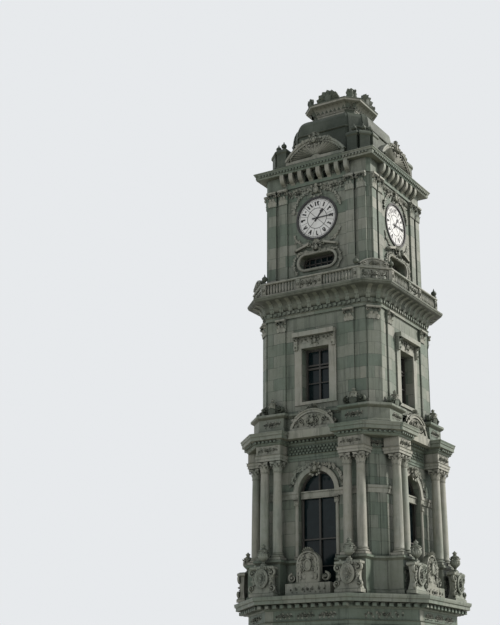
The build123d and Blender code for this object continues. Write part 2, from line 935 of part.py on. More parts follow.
def build_length(out, half, clear_spans):
    """Two rails of the balustrade with posts between them, mitred at both ends."""
    end = half - joint_gap / 2 / cos(radians(22.5))
    back_end = end - rail_depth * (sqrt(2) - 1)
    plan = [(-end, -out), (end, -out), (back_end, rail_depth - out), (-back_end, rail_depth - out)]
    with BuildPart() as length:
        for low in (balcony_floor, rail_gap_high):
            with BuildSketch(Plane.XY.offset(low)):
                Polygon(*plan, align=None)
            extrude(amount=rail_height)
        with BuildSketch(Plane.XY.offset(rail_gap_low)):
            Polygon(*plan, align=None)
            for clear_low, clear_high in clear_spans:
                with Locations(((clear_low + clear_high) / 2, -out)):
                    Rectangle(clear_high - clear_low, 3 * rail_depth, mode=Mode.SUBTRACT)
        extrude(amount=rail_gap)
    return length.part


def add_pierced_panel(plane, half):
    """Thin panel between the rails, pierced by two rows of holes."""
    with BuildSketch(plane) as panel:
        with Locations((0, (rail_gap_low + rail_gap_high) / 2)):
            Rectangle(2 * half, rail_gap)
            with GridLocations(half / 2, rail_gap / 2.5, 4, 2):
                RegularPolygon(half / 7, 6, mode=Mode.SUBTRACT)
    extrude(panel.sketch, amount=-pierced_thick)


side_spans = [(-bay_end, -bay_start), (-panel_clear, panel_clear), (bay_start, bay_end)]
side_rails = build_length(balcony_face, balcony_edge, side_spans)
with BuildPart() as side_length:
    add(side_rails)
    add_pierced_panel(side_plane(0, balcony_face - pierced_inset), panel_clear)
    for count in range(balusters_in_bay):
        x = bay_start + (count + 0.5) * bay_run / balusters_in_bay
        with Locations((-x, -rail_middle), (x, -rail_middle)):
            add(baluster)

corner_rails = build_length(corner_out, corner_half, [(-corner_clear, corner_clear)])
with BuildPart() as corner_length:
    add(corner_rails)
    add_pierced_panel(side_plane(0, corner_out - pierced_inset), corner_clear)
    with BuildSketch(side_plane(0, corner_out)):
        curved_slab(corner_clear, balcony_rail_top, corner_panel_foot, corner_panel_rise)
    extrude(amount=-rail_depth)

with BuildPart() as balustrade:
    with Locations(*turned(0, 0)):
        add(side_length.part)
    with Locations(Location((0, 0, 0), (0, 0, 45))):
        with Locations(*turned(0, 0)):
            add(corner_length.part)
save(balustrade, "balustrade")

# Clock storey walls, with a round seat for the dial and a long window under it
with BuildPart() as clock_walls:
    for turn in TURNS:
        holes = outline_of(dial_seat, -pin_gap), outline_of(clock_window)
        add_bay(turn, clock_face, clock_bay, clock_wall, balcony_floor, clock_wall_top, *holes)
save(clock_walls, "clock_walls")

clock_piers = build_piers(clock_face, clock_edge, clock_well, clock_bay, balcony_floor, clock_wall_top)
save(clock_piers, "clock_piers")

clock_cap_height = 640
clock_cap_proud = 26
clock_pilaster_places = (
    -clock_pilaster_outer_x, -clock_pilaster_inner_x, clock_pilaster_inner_x, clock_pilaster_outer_x,
)
with BuildPart() as clock_pilasters:
    for turn in TURNS:
        add_pilasters(
            side_plane(turn, clock_face), clock_pilaster_places, clock_pilaster_width,
            clock_pilaster_proud, balcony_floor, clock_wall_top, clock_cap_height, clock_cap_proud,
        )
save(clock_pilasters, "clock_pilasters")

# Surrounds of the long windows
oval_frame = 110
oval_proud = 70
pediment_outer = 930
pediment_inner = 320
pediment_low = oval_middle + 480
pediment_high = oval_middle + 760
pediment_thick = 75
pediment_proud = 90
with BuildPart() as oval_surrounds:
    for turn in TURNS:
        plane = side_plane(turn, clock_face)
        with BuildSketch(plane):
            with Locations((0, oval_middle)):
                SlotOverall(2 * (oval_half + oval_frame), oval_height + 2 * oval_frame)
                SlotOverall(2 * oval_half, oval_height, mode=Mode.SUBTRACT)
        extrude(amount=oval_proud)
        for side in (-1, 1):
            with BuildSketch(plane):
                with BuildLine():
                    Polyline(
                        (side * pediment_outer, pediment_low),
                        (side * pediment_outer, pediment_low + pediment_thick),
                        (side * pediment_inner, pediment_high),
                        (side * (pediment_inner - pediment_thick), pediment_high - pediment_thick),
                        close=True,
                    )
                make_face()
            extrude(amount=oval_proud + pediment_proud)
save(oval_surrounds, "oval_surrounds")

# Dials with their rims
with BuildPart() as dials:
    for turn in TURNS:
        with BuildSketch(side_plane(turn, clock_face)):
            with Locations((0, dial_middle)):
                Circle(dial_radius)
                Circle(hour_pipe_radius + pin_gap, mode=Mode.SUBTRACT)
        extrude(amount=-dial_thick)
save(dials, "dials")

dial_rim_lip = 14
with BuildPart() as dial_rims:
    for turn in TURNS:
        with BuildSketch(side_plane(turn, clock_face)):
            with Locations((0, dial_middle)):
                Circle(dial_radius + dial_rim_width)
                Circle(dial_radius - dial_rim_lip, mode=Mode.SUBTRACT)
        extrude(amount=dial_rim_proud)
save(dial_rims, "dial_rims")


def draw_hand(shaft_half, spade_half, spade_start, length, tail):
    """Flat shaft with a spade at its tip and a broad tail, drawn in the sketch that calls it."""
    spade_widest = spade_start + 0.38 * (length - spade_start)
    with BuildSketch(mode=Mode.PRIVATE) as outline:
        with BuildLine():
            Polyline(
                (-1.5 * shaft_half, -tail),
                (1.5 * shaft_half, -tail),
                (shaft_half, 0),
                (shaft_half, spade_start),
                (spade_half, spade_widest),
                (0, length),
                (-spade_half, spade_widest),
                (-shaft_half, spade_start),
                (-shaft_half, 0),
                close=True,
            )
        make_face()
    add(outline.sketch)


# Hands, one hour and one minute hand on every dial
hour_hand_angle = (1 + minute_at_rest / 60) * 30
minute_hand_angle = minute_at_rest * 6
minute_hand_out = clock_face + 2 * hand_gap + hand_thick
side_names = {0: "front", 90: "right", 180: "back", 270: "left"}
for turn in TURNS:
    with BuildPart() as hour_hand:
        with BuildSketch(side_plane(turn, clock_face + hand_gap)):
            with Locations(Location((0, dial_middle, 0), (0, 0, -hour_hand_angle))):
                Circle(hub_radius)
                draw_hand(hour_shaft_half, hour_spade_half, hour_spade_start, hour_length, hour_tail)
                Circle(arbor_radius + pin_gap, mode=Mode.SUBTRACT)
        extrude(amount=hand_thick)
        with BuildSketch(side_plane(turn, clock_face + hand_gap)):
            with Locations((0, dial_middle)):
                Circle(hour_pipe_radius)
                Circle(arbor_radius + pin_gap, mode=Mode.SUBTRACT)
        extrude(amount=-(hand_gap + dial_thick + 20))
    save(hour_hand, side_names[turn] + "_hour_hand")
    with BuildPart() as minute_hand:
        with BuildSketch(side_plane(turn, minute_hand_out)):
            with Locations(Location((0, dial_middle, 0), (0, 0, -minute_hand_angle))):
                Circle(minute_hub_radius)
                draw_hand(
                    minute_shaft_half, minute_spade_half, minute_spade_start, minute_length, minute_tail,
                )
        extrude(amount=hand_thick)
        with BuildSketch(side_plane(turn, minute_hand_out)):
            with Locations((0, dial_middle)):
                Circle(arbor_radius)
        extrude(amount=-arbor_length)
    save(minute_hand, side_names[turn] + "_minute_hand")

# Frieze of the clock storey, with three small openings on every side
clock_frieze_proud = 50
clock_frieze_profile = [
    (clock_frieze_proud, clock_wall_top, 0),
    (clock_frieze_proud, clock_frieze_top, 0),
]
clock_frieze_block = moulded_storey(clock_face, clock_edge, clock_frieze_profile)
vent_middle = clock_wall_top + 300
with BuildPart() as clock_frieze:
    add(clock_frieze_block)
    cut_well(clock_well, clock_bay, clock_wall_top, clock_frieze_top)
    cut_joints(clock_face, clock_edge, clock_well, clock_bay, clock_wall_top, clock_frieze_top)
    for turn in TURNS:
        with BuildSketch(side_plane(turn, clock_face + 2 * clock_frieze_proud)):
            with Locations((0, vent_middle)):
                with GridLocations(vent_pitch, 1, vent_count, 1):
                    Rectangle(vent_width, vent_height)
        extrude(amount=-clock_wall - 3 * clock_frieze_proud, mode=Mode.SUBTRACT)
save(clock_frieze, "clock_frieze")

# Scroll consoles between the openings
console_width = 170
console_height = 460
console_out = 260
console_count = 8
console_lip = 90
console_toe = 65
console_hollow = 60
with BuildPart() as console:
    with BuildSketch(Plane.YZ.offset(-console_width / 2)):
        with BuildLine():
            Line((0, -console_height), (0, 0))
            Line((0, 0), (console_out, 0))
            Line((console_out, 0), (console_out, -console_lip))
            toe = (console_toe, console_toe - console_height)
            SagittaArc((console_out, -console_lip), toe, console_hollow)
            Line(toe, (0, -console_height))
        make_face()
    extrude(amount=console_width)
console_reach = clock_face + clock_frieze_proud
with BuildPart() as cornice_consoles:
    for count in range(console_count):
        x = (count - (console_count - 1) / 2) * vent_pitch
        for turn in TURNS:
            place = Location((x, -console_reach, clock_frieze_top), (0, 0, 180))
            with Locations(Location((0, 0, 0), (0, 0, turn)) * place):
                add(console.part)
save(cornice_consoles, "cornice_consoles")

# Square cornice over the cut corners of the clock storey
clock_cornice_half = 2690
clock_cornice_profile = [
    (-90, clock_frieze_top, 0),
    (-70, clock_frieze_top + 60, 0),
    (-70, clock_frieze_top + 150, 0),
    (-40, clock_frieze_top + 165, 0),
    (0, clock_frieze_top + 240, 8),
    (0, clock_frieze_top + 270, 0),
    (-330, roof_deck, 0),
]
clock_cornice_block = moulded_block(clock_cornice_half, clock_cornice_half, clock_cornice_profile)
with BuildPart() as clock_cornice:
    add(clock_cornice_block)
    with BuildSketch(Plane.XY.offset(clock_frieze_top)):
        octagon(clock_well, clock_bay)
    extrude(amount=roof_deck - clock_frieze_top, mode=Mode.SUBTRACT)
    for turn in (45, 135):
        with BuildSketch(side_plane(turn, 0)):
            with Locations((0, roof_deck)):
                Rectangle(4 * clock_cornice_half, 3 * clock_cornice_height)
        extrude(amount=joint_gap / 2, both=True, mode=Mode.SUBTRACT)
save(clock_cornice, "clock_cornice")

# Parapet pedestals at the corners, with ball finials
parapet_middle = 2080
parapet_x = 1600
parapet_half = 210
parapet_corner = 1930
parapet_profile = [
    (30, roof_deck, 0),
    (30, roof_deck + 120, 0),
    (0, roof_deck + 150, 0),
    (0, roof_deck + parapet_height - 200, 0),
    (45, roof_deck + parapet_height - 150, 0),
    (45, roof_deck + parapet_height - 90, 0),
    (0, roof_deck + parapet_height, 0),
]
parapet_block = moulded_block(parapet_half, parapet_half, parapet_profile)
parapet_places = turned(-parapet_x, parapet_middle) + turned(parapet_x, parapet_middle)
for place in turned(parapet_corner, parapet_corner):
    parapet_places.append(place * Location((0, 0, 0), (0, 0, 45)))
with BuildPart() as roof_parapets:
    with Locations(*parapet_places):
        add(parapet_block)
save(roof_parapets, "roof_parapets")

# Ball finials on the parapets and on the end posts of the balustrade
finial = turned_block(
    [(95, 0), (95, 45), (40, 95), (40, 125), (108, 190), (108, 245), (45, 305), (10, 420)], ornament_sides,
)
finial_places = [Location((0, 0, roof_deck + parapet_height)) * place for place in parapet_places]
for x in (-end_post_x, end_post_x):
    finial_places += [Location((0, 0, balcony_rail_top)) * place for place in turned(x, rail_middle)]
with BuildPart() as finials:
    with Locations(*finial_places):
        add(finial)
save(finials, "finials")

# Shell lunettes over the four sides
lunette_half = 1310
lunette_rise = 740
lunette_foot = 150
lunette_border = 130
lunette_sink = 90
lunette_out = 2440
lunette_thick = 260
with BuildPart() as roof_lunettes:
    for turn in TURNS:
        plane = side_plane(turn, lunette_out)
        with BuildSketch(plane):
            curved_slab(lunette_half, roof_deck, lunette_foot, lunette_rise)
        extrude(amount=-lunette_thick)
        with BuildSketch(plane):
            curved_slab(
                lunette_half - lunette_border, roof_deck + lunette_border,
                lunette_foot - lunette_border, lunette_rise - lunette_border,
            )
        extrude(amount=-lunette_sink, mode=Mode.SUBTRACT)
save(roof_lunettes, "roof_lunettes")

# Domed roof: a ring of eight lengths, and over it a cap with the neck of the crown
roof_shell = 260
roof_shoulder = roof_deck + 1500
roof_ring_profile = [
    (230, roof_deck, 0),
    (230, roof_deck + 160, 0),
    (20, roof_deck + 700, 60),
    (0, roof_shoulder, 0),
]
roof_ring_block = moulded_storey(roof_face, roof_edge, roof_ring_profile)
roof_well = roof_face - roof_shell
roof_bay = bay_half(roof_edge, roof_shell)
with BuildPart() as domed_roof:
    add(roof_ring_block)
    cut_well(roof_well, roof_bay, roof_deck, roof_shoulder)
    cut_joints(roof_face, roof_edge, roof_well, roof_bay, roof_deck, roof_shoulder)
save(domed_roof, "domed_roof")

roof_cap_profile = [
    (0, roof_shoulder, 0),
    (-50, roof_shoulder + 420, -12),
    (-180, roof_shoulder + 650, -35),
    (-400, roof_shoulder + 790, -25),
    (neck_face - roof_face + 40, roof_top, -12),
    (neck_face - roof_face, roof_top, 0),
    (neck_face - roof_face, neck_top - 40, 0),
    (neck_face - roof_face + 25, neck_top - 20, 0),
    (neck_face - roof_face + 25, neck_top, 0),
]
roof_cap_block = moulded_storey(roof_face, roof_edge, roof_cap_profile)
with BuildPart() as roof_cap:
    add(roof_cap_block)
save(roof_cap, "roof_cap")

crown_profile = [
    (-20, neck_top, 0),
    (20, neck_top + 80, 0),
    (270, neck_top + 310, 45),
    (310, neck_top + 320, 0),
    (330, crown_lip - 30, 0),
    (310, crown_lip, 0),
]
crown_edge = neck_edge + 40
crown_block = moulded_storey(neck_face, crown_edge, crown_profile)
with BuildPart() as crown:
    add(crown_block)
save(crown, "crown")

# Upright leaves at the corners and a fan crest on every side
crest_half = 560
crest_thick = 150
crest_out = 280
leaf_half = 130
leaf_spread = 30
leaf_shoulder = 380
with BuildPart() as crown_crests:
    for turn in TURNS:
        with BuildSketch(side_plane(turn, neck_face + crest_out)):
            with BuildLine():
                Line((-crest_half, crown_lip), (crest_half, crown_lip))
                for side in (1, -1):
                    ThreePointArc(
                        (side * crest_half, crown_lip),
                        (side * 0.6 * crest_half, crown_lip + 0.7 * crest_height),
                        (0, crown_lip + crest_height),
                    )
            make_face()
        extrude(amount=-crest_thick)
        with BuildSketch(side_plane(turn + 45, corner_reach(neck_face, crown_edge) + crest_out)):
            with BuildLine():
                Polyline(
                    (-leaf_half, crown_lip),
                    (leaf_half, crown_lip),
                    (leaf_half + leaf_spread, crown_lip + leaf_shoulder),
                    (0, crown_lip + crest_height),
                    (-leaf_half - leaf_spread, crown_lip + leaf_shoulder),
                    close=True,
                )
            make_face()
        extrude(amount=-crest_thick)
save(crown_crests, "crown_crests")

# Ornaments that stand free in front of the first storey
medallion_x = 1720
medallion_half = 480
medallion_half_depth = 150
medallion_out = 3600
medallion_height = 1100
medallion_radius = 215
medallion_tall = 290
medallion_proud = 40
medallion_profile = [
    (30, first_floor, 0),
    (30, first_floor + 110, 0),
    (0, first_floor + 140, 0),
    (-60, first_floor + 700, 30),
    (-40, first_floor + medallion_height - 180, 0),
    (20, first_floor + medallion_height - 120, 0),
    (20, first_floor + medallion_height - 50, 0),
    (-60, first_floor + medallion_height, 0),
]
medallion_block = moulded_block(medallion_half, medallion_half_depth, medallion_profile)
with BuildPart() as medallion_pedestals:
    for side in (-1, 1):
        with Locations(*turned(side * medallion_x, medallion_out - medallion_half_depth)):
            add(medallion_block)
    for turn in TURNS:
        with BuildSketch(side_plane(turn, medallion_out - medallion_half_depth)):
            for side in (-1, 1):
                with Locations((side * medallion_x, first_floor + 640)):
                    Ellipse(medallion_radius, medallion_tall)
        extrude(amount=medallion_half_depth + medallion_proud)
save(medallion_pedestals, "medallion_pedestals")

# Vases: tall ones on the medallion pedestals, lower ones on the attic course
vase_profile = [
    (110, 0), (110, 60), (50, 120), (188, 300), (190, 380), (150, 520), (60, 560), (110, 640), (12, 780),
]
urn_share = 0.8
urn_profile = [(urn_share * radius, urn_share * height) for radius, height in vase_profile]
vase = turned_block(vase_profile, ornament_sides)
urn = turned_block(urn_profile, ornament_sides)
vase_out = medallion_out - medallion_half_depth
urn_out = second_face + 290
with BuildPart() as vases:
    for side in (-1, 1):
        with Locations(Location((0, 0, first_floor + medallion_height))):
            with Locations(*turned(side * medallion_x, vase_out)):
                add(vase)
        with Locations(Location((0, 0, attic_top))):
            with Locations(*turned(side * pair_middle, urn_out)):
                add(urn)
save(vases, "vases")

# Parapet stones in front of the arches, each with a round-headed carved stone
stone_half = 900
stone_back = 3020
stone_out = 3330
stone_height = 430
carved_half = 470
carved_height = 1130
with BuildPart() as parapet_stones:
    for turn in TURNS:
        with BuildSketch(side_plane(turn, stone_out)):
            with Locations((0, first_floor + stone_height / 2)):
                Rectangle(2 * stone_half, stone_height)
        extrude(amount=-(stone_out - stone_back))
        with BuildSketch(side_plane(turn, stone_out - 60)):
            with Locations((0, first_floor + stone_height + (carved_height - carved_half) / 2)):
                Rectangle(2 * carved_half, carved_height - carved_half)
            with Locations((0, first_floor + stone_height + carved_height - carved_half)):
                Circle(carved_half)
        extrude(amount=-180)
save(parapet_stones, "parapet_stones")

# Floors of the storeys and of the roof
with BuildPart() as floors:
    for level, face, edge in (
        (first_floor, ground_well, ground_bay),
        (second_floor, first_well, first_bay),
        (balcony_floor, clock_well, slab_bay),
    ):
        with BuildSketch(Plane.XY.offset(level - floor_thick)):
            octagon(face, edge)
        extrude(amount=floor_thick)
    with BuildSketch(Plane.XY.offset(clock_frieze_top + 100)):
        octagon(clock_well, clock_bay)
    extrude(amount=roof_deck - clock_frieze_top - 100)
save(floors, "floors")

# Frames of all the windows, each with a middle post and most with a transom
window_rows = (
    (ground_window, ground_face - frame_setback, door_spring, frame_bar, TURNS[1:]),
    (first_window, first_face - arch_frame_setback, arch_spring - 90, arch_transom, TURNS),
    (second_window, second_face - frame_setback, window_head - 0.36 * window_height, frame_bar, TURNS),
    (clock_window, clock_face - frame_setback, oval_middle, 0, TURNS),
)


def panes(draw, transom, transom_height):
    """What is glazed of a window: all but its border, middle post and transom."""
    with BuildSketch(mode=Mode.PRIVATE) as clear:
        draw(frame_bar)
        if transom_height:
            with Locations((0, transom)):
                Rectangle(frame_bar, 3 * window_height, mode=Mode.SUBTRACT)
                Rectangle(3 * door_half, transom_height, mode=Mode.SUBTRACT)
    return clear.sketch


with BuildPart() as window_frames:
    for draw, out, transom, transom_height, turns in window_rows:
        for turn in turns:
            with BuildSketch(side_plane(turn, out)):
                draw(0)
                add(panes(draw, transom, transom_height), mode=Mode.SUBTRACT)
            extrude(amount=-frame_depth)
save(window_frames, "window_frames")

# One sheet of glass stands behind the bars of each window
with BuildPart() as window_glass:
    for draw, out, transom, transom_height, turns in window_rows:
        for turn in turns:
            with BuildSketch(side_plane(turn, out - frame_depth)):
                draw(0)
            extrude(amount=-glass_thick)
save(window_glass, "window_glass")

# Entrance door of two leaves, in the front of the ground storey
with BuildPart() as entrance_door:
    with BuildSketch(side_plane(0, ground_face - frame_setback)):
        doorway(0)
        Rectangle(door_gap, 2 * (door_spring - frame_bar), mode=Mode.SUBTRACT)
    extrude(amount=-door_leaf_thick)
save(entrance_door, "entrance_door")
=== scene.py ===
import math
import random

import bpy
import numpy as np
from mathutils import Matrix, Vector


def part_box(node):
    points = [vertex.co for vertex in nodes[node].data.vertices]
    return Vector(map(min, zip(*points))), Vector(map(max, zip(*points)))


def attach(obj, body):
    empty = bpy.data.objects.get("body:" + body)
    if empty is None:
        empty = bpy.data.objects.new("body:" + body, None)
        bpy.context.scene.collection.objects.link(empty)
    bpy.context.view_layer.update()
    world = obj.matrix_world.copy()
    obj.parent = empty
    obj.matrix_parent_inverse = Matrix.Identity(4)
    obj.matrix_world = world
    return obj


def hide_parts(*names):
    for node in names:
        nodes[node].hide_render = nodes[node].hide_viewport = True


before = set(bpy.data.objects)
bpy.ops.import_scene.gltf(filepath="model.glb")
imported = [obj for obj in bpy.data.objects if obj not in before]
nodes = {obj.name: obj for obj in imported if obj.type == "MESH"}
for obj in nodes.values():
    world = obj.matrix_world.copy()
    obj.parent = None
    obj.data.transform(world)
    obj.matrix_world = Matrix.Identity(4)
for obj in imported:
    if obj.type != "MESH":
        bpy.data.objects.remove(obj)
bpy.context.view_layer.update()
body = "tower"
turns = (0, 90, 180, 270)
hands = (-1, 1)
print("frame loaded,", len(nodes), "nodes")


# places on the tower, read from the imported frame
def faceOf(node):
    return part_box(node)[1].x


def lowOf(node):
    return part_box(node)[0].z


def highOf(node):
    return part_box(node)[1].z


clockFace = faceOf("clock_walls")
secondFace = faceOf("second_walls")
firstFace = faceOf("first_walls")
groundFace = faceOf("ground_walls")
firstFloor = highOf("ground_cornice")
pedestalTop = lowOf("first_columns")
firstWallTop = highOf("first_walls")
firstFriezeTop = highOf("first_frieze")
secondFloor = highOf("first_cornice")
atticTop = highOf("attic_course")
secondWallTop = highOf("second_walls")
secondFriezeTop = highOf("second_frieze")
balconyFloor = highOf("balcony_slab")
clockWallTop = highOf("clock_walls")
roofDeck = highOf("clock_cornice")
roofShoulder = highOf("domed_roof")
crownLip = highOf("crown")
dialMiddle = (lowOf("dials") + highOf("dials")) / 2
dialRadius = (highOf("dials") - lowOf("dials")) / 2

# half widths of the flat sides between the cut corners
edges = {"ground": 1.62, "first": 2.07, "second": 2.09, "crown": 0.66}
cutSlope = math.sqrt(2) - 1


# distance from the axis to the cut corner between two faces
def cutOut(face, edge):
    return (face + edge) / math.sqrt(2)


groundCut = cutOut(groundFace, edges["ground"])
firstCut = cutOut(firstFace, edges["first"])
secondCut = cutOut(secondFace, edges["second"])


# mesh helpers: a shape is a pair of vertices (in metres) and faces
def joinShapes(shapes):
    verts, faces, start = [], [], 0
    for v, f in shapes:
        verts.append(v)
        faces += [[i + start for i in face] for face in f]
        start += len(v)
    return np.vstack(verts), faces


def turnedOver(faces):
    return [face[::-1] for face in faces]


def spun(v, angle):
    return v @ np.array(Matrix.Rotation(math.radians(angle), 3, "Z")).T


def moved(shape, x=0.0, y=0.0, z=0.0):
    return shape[0] + np.array((x, y, z)), shape[1]


def scaled(shape, x=1.0, y=1.0, z=1.0):
    return shape[0] * np.array((x, y, z)), turnedOver(shape[1]) if x * y * z < 0 else shape[1]


def rotated(shape, angle):
    return spun(shape[0], angle), shape[1]


# a shape drawn with x right, y up and z outward, set on one side of the tower
def onSide(shape, turn, x=0.0, out=0.0, z=0.0):
    v = shape[0]
    return spun(np.column_stack((v[:, 0] + x, -(v[:, 2] + out), v[:, 1] + z)), turn), shape[1]


# the same shape stood on edge, so that it runs outward and faces left or right
def onEdge(shape, hand, out, aside, z):
    v, faces = shape
    placed = np.column_stack((v[:, 0] + out, (v[:, 2] + aside) * hand, v[:, 1] + z))
    return placed, faces if hand > 0 else turnedOver(faces)


# a shape that stands upright by itself, set on all four sides at every (x, out, height)
def standing(shape, places):
    spots = [np.array((x, -out, height)) for x, out, height in places]
    return joinShapes([(spun(shape[0] + spot, turn), shape[1]) for turn in turns for spot in spots])


def everySide(shape, **place):
    return joinShapes([onSide(shape, turn, **place) for turn in turns])


def everyCorner(shape, **place):
    return joinShapes([onSide(shape, turn + 45, **place) for turn in turns])


def bothWays(shape):
    return joinShapes([shape, scaled(shape, x=-1)])


sharpAngle = math.radians(35)  # steeper edges than this stay sharp


def addPiece(name, shape, material, replaces=()):
    mesh = bpy.data.meshes.new(name)
    mesh.from_pydata(shape[0].tolist(), [], shape[1])
    mesh.validate()
    mesh.polygons.foreach_set("use_smooth", [True] * len(mesh.polygons))
    mesh.set_sharp_from_angle(angle=sharpAngle)
    mesh.materials.append(material)
    piece = bpy.data.objects.new(name, mesh)
    bpy.context.scene.collection.objects.link(piece)
    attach(piece, body)
    if replaces:
        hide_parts(*replaces)
    print("made", name, len(mesh.polygons), "faces")


# faces of a grid of points kept row by row, which may close on itself either way
def gridFaces(rows, columns, closedRows=False, closedColumns=False):
    faces = []
    for i in range(rows if closedRows else rows - 1):
        k = (i + 1) % rows
        for j in range(columns if closedColumns else columns - 1):
            n = (j + 1) % columns
            faces.append([i * columns + j, i * columns + n, k * columns + n, k * columns + j])
    return faces


# turned shape; between two heights it may be fluted by a wave round the axis
def lathe(profile, sides, flutes=0, wave=0.0, low=0.0, high=0.0):
    angle = np.arange(sides) / sides * 2 * math.pi
    rings = []
    for radius, height in profile:
        amount = wave if low < height < high else 0.0
        r = radius * (1 + amount * (np.abs(np.cos(flutes / 2 * angle)) - 0.6))
        rings.append(np.column_stack((r * np.cos(angle), r * np.sin(angle), np.full(sides, height))))
    faces = gridFaces(len(profile), sides, closedColumns=True)
    faces.append(list(reversed(range(sides))))
    faces.append([(len(profile) - 1) * sides + i for i in range(sides)])
    return np.vstack(rings), faces


# flat outline in x and y, raised from the ground z to z + depth, its top edge drawn in by bevel
def plate(outline, depth, bevel=0.0, ground=0.0):
    pts = np.array(outline, float)
    n = len(pts)
    middle = pts.mean(0)
    span = np.abs(pts - middle).max()
    inner = middle + (pts - middle) * max(0.0, 1 - bevel / span)
    layers = [(pts, ground), (pts, ground + depth - bevel)]
    if bevel:
        layers.append((inner, ground + depth))
    faces = gridFaces(len(layers), n, closedColumns=True)
    faces.append([(len(layers) - 1) * n + i for i in range(n)])
    return np.vstack([np.column_stack((p, np.full(n, z))) for p, z in layers]), faces


def slab(width, height, depth, bevel=0.006):
    x, y = width / 2, height / 2
    return plate([(-x, -y), (x, -y), (x, y), (-x, y)], depth, bevel)


# solid seen from the side as points (out, height), centred on x
def sideShape(points, width):
    n = len(points)
    verts = [(x, height, out) for x in (-width / 2, width / 2) for out, height in points]
    walls = turnedOver(gridFaces(2, n, closedColumns=True))
    return np.array(verts, float), [list(range(n)), list(reversed(range(n, 2 * n)))] + walls


def arcPoints(radius, start, end, count, cx=0.0, cy=0.0):
    angle = np.radians(np.linspace(start, end, count))
    return np.column_stack((cx + radius * np.cos(angle), cy + radius * np.sin(angle)))


# band of a given section (across, up) along a path in x and y; across is to the left of the path
def band(path, section, closed=False):
    path = np.array(path, float)
    ahead = np.roll(path, -1, 0) - path
    behind = path - np.roll(path, 1, 0)
    if not closed:
        ahead[-1] = behind[-1]
        behind[0] = ahead[0]
    ahead /= np.linalg.norm(ahead, axis=1)[:, None]
    behind /= np.linalg.norm(behind, axis=1)[:, None]
    tangent = ahead + behind
    tangent /= np.linalg.norm(tangent, axis=1)[:, None]
    normal = np.column_stack((-tangent[:, 1], tangent[:, 0]))
    mitre = 1 / np.maximum(0.3, (tangent * ahead).sum(1))
    n, m = len(path), len(section)
    verts = []
    for i in range(n):
        for across, up in section:
            place = path[i] + normal[i] * across * mitre[i]
            verts.append((place[0], place[1], up))
    faces = gridFaces(n, m, closedRows=closed)
    if not closed:
        faces.append(list(range(m)))
        faces.append([(n - 1) * m + j for j in reversed(range(m))])
    return np.array(verts), faces


# moulding that runs round a storey with cut corners; section is (out, height)
def storeyRing(face, edge, section):
    ends = []
    for x, y, stepX, stepY in ((edge, -face, cutSlope, 1), (face, -edge, 1, cutSlope)):
        ends += [(x + out * stepX, y - out * stepY, height) for out, height in section]
    ring = np.vstack([spun(np.array(ends), turn) for turn in turns])
    return ring, turnedOver(gridFaces(2 * len(turns), len(section), True, True))


# rounded strip that rolls up at its end, such as a volute
def scroll(radius, width, turnsOf, depth, start, steps, direction):
    verts = []
    for i in range(steps + 1):
        t = i / steps
        a = math.radians(start) + direction * t * turnsOf * 2 * math.pi
        r = radius * (1 - 0.82 * t)
        w = width * (1 - 0.55 * t)
        rise = depth * (0.75 + 0.25 * t)
        for away, up in ((r, 0), (r, rise * 0.8), (r - w / 2, rise), (r - w, rise * 0.8), (r - w, 0)):
            verts.append((away * math.cos(a), away * math.sin(a), up))
    faces = gridFaces(steps + 1, 5)
    if direction > 0:
        faces = turnedOver(faces)
    eye = lathe([(radius * 0.2, 0), (radius * 0.2, depth), (radius * 0.1, depth * 1.15)], 10)
    return joinShapes([(np.array(verts), faces), eye])


# curved leaf with a midrib and lobed edges, standing on its foot in x and y
def leaf(width, height, curl, lobes, across=4, along=9):
    verts = []
    for j in range(along + 1):
        v = j / along
        half = width / 2 * (0.55 + 0.75 * math.sin(math.pi * min(1.0, 0.15 + 0.85 * v))) * (1 - v ** 5)
        half *= 1 + 0.22 * math.cos(2 * math.pi * lobes * v)
        tip = max(0.0, (v - 0.72) / 0.28)
        for i in range(across + 1):
            u = 2 * i / across - 1
            z = curl * v ** 2.4 + width * 0.14 * (1 - abs(u)) - width * 0.10 * u * u
            verts.append((u * half, height * (v - 0.14 * tip * tip), z + curl * 0.25 * tip))
    return np.array(verts), gridFaces(along + 1, across + 1)


# rounded bead, a little flattened
def bead(size, flat, sides):
    rows = [(0.38, -0.92), (0.92, -0.38), (0.92, 0.38), (0.38, 0.92)]
    return scaled(lathe([(r * size, h * size) for r, h in rows], sides), z=flat)


# leaves and beads scattered along a path, as carved foliage
def garland(path, girth, seed, leafSize, depth, density):
    dice = random.Random(seed)
    path = np.array(path, float)
    seg = np.linalg.norm(np.diff(path, axis=0), axis=1)
    total = seg.sum()
    count = max(4, int(total / (leafSize * 0.42) * density))
    shapes = []
    for i in range(count):
        t = (i + dice.random()) / count
        k = min(int(np.searchsorted(np.cumsum(seg), t * total)), len(seg) - 1)
        run = path[k + 1] - path[k]
        place = path[k] + run * ((t * total - seg[:k].sum()) / seg[k])
        thick = girth * (0.55 + 0.6 * math.sin(math.pi * t))
        aside = dice.uniform(-1, 1) * thick
        angle = math.degrees(math.atan2(run[1], run[0])) - 90 + dice.uniform(-70, 70)
        size = leafSize * dice.uniform(0.7, 1.15)
        spot = place + np.array((-run[1], run[0])) / np.linalg.norm(run) * aside
        rise = depth * math.sqrt(max(0.05, 1 - (aside / (thick * 1.2)) ** 2))
        if dice.random() < 0.6:
            one = leaf(size * 0.75, size * 1.35, size * 0.5, 2, 2, 5)
        else:
            one = bead(size * 0.34, 0.8, 7)
        shapes.append(moved(rotated(one, angle), spot[0], spot[1], rise * 0.55))
    half = [(girth * 0.8, 0), (girth * 0.6, depth * 0.5)]
    core = [(-x, z) for x, z in half] + [(0, depth * 0.7)] + half[::-1]
    shapes.append(band(path, core))
    return joinShapes(shapes)


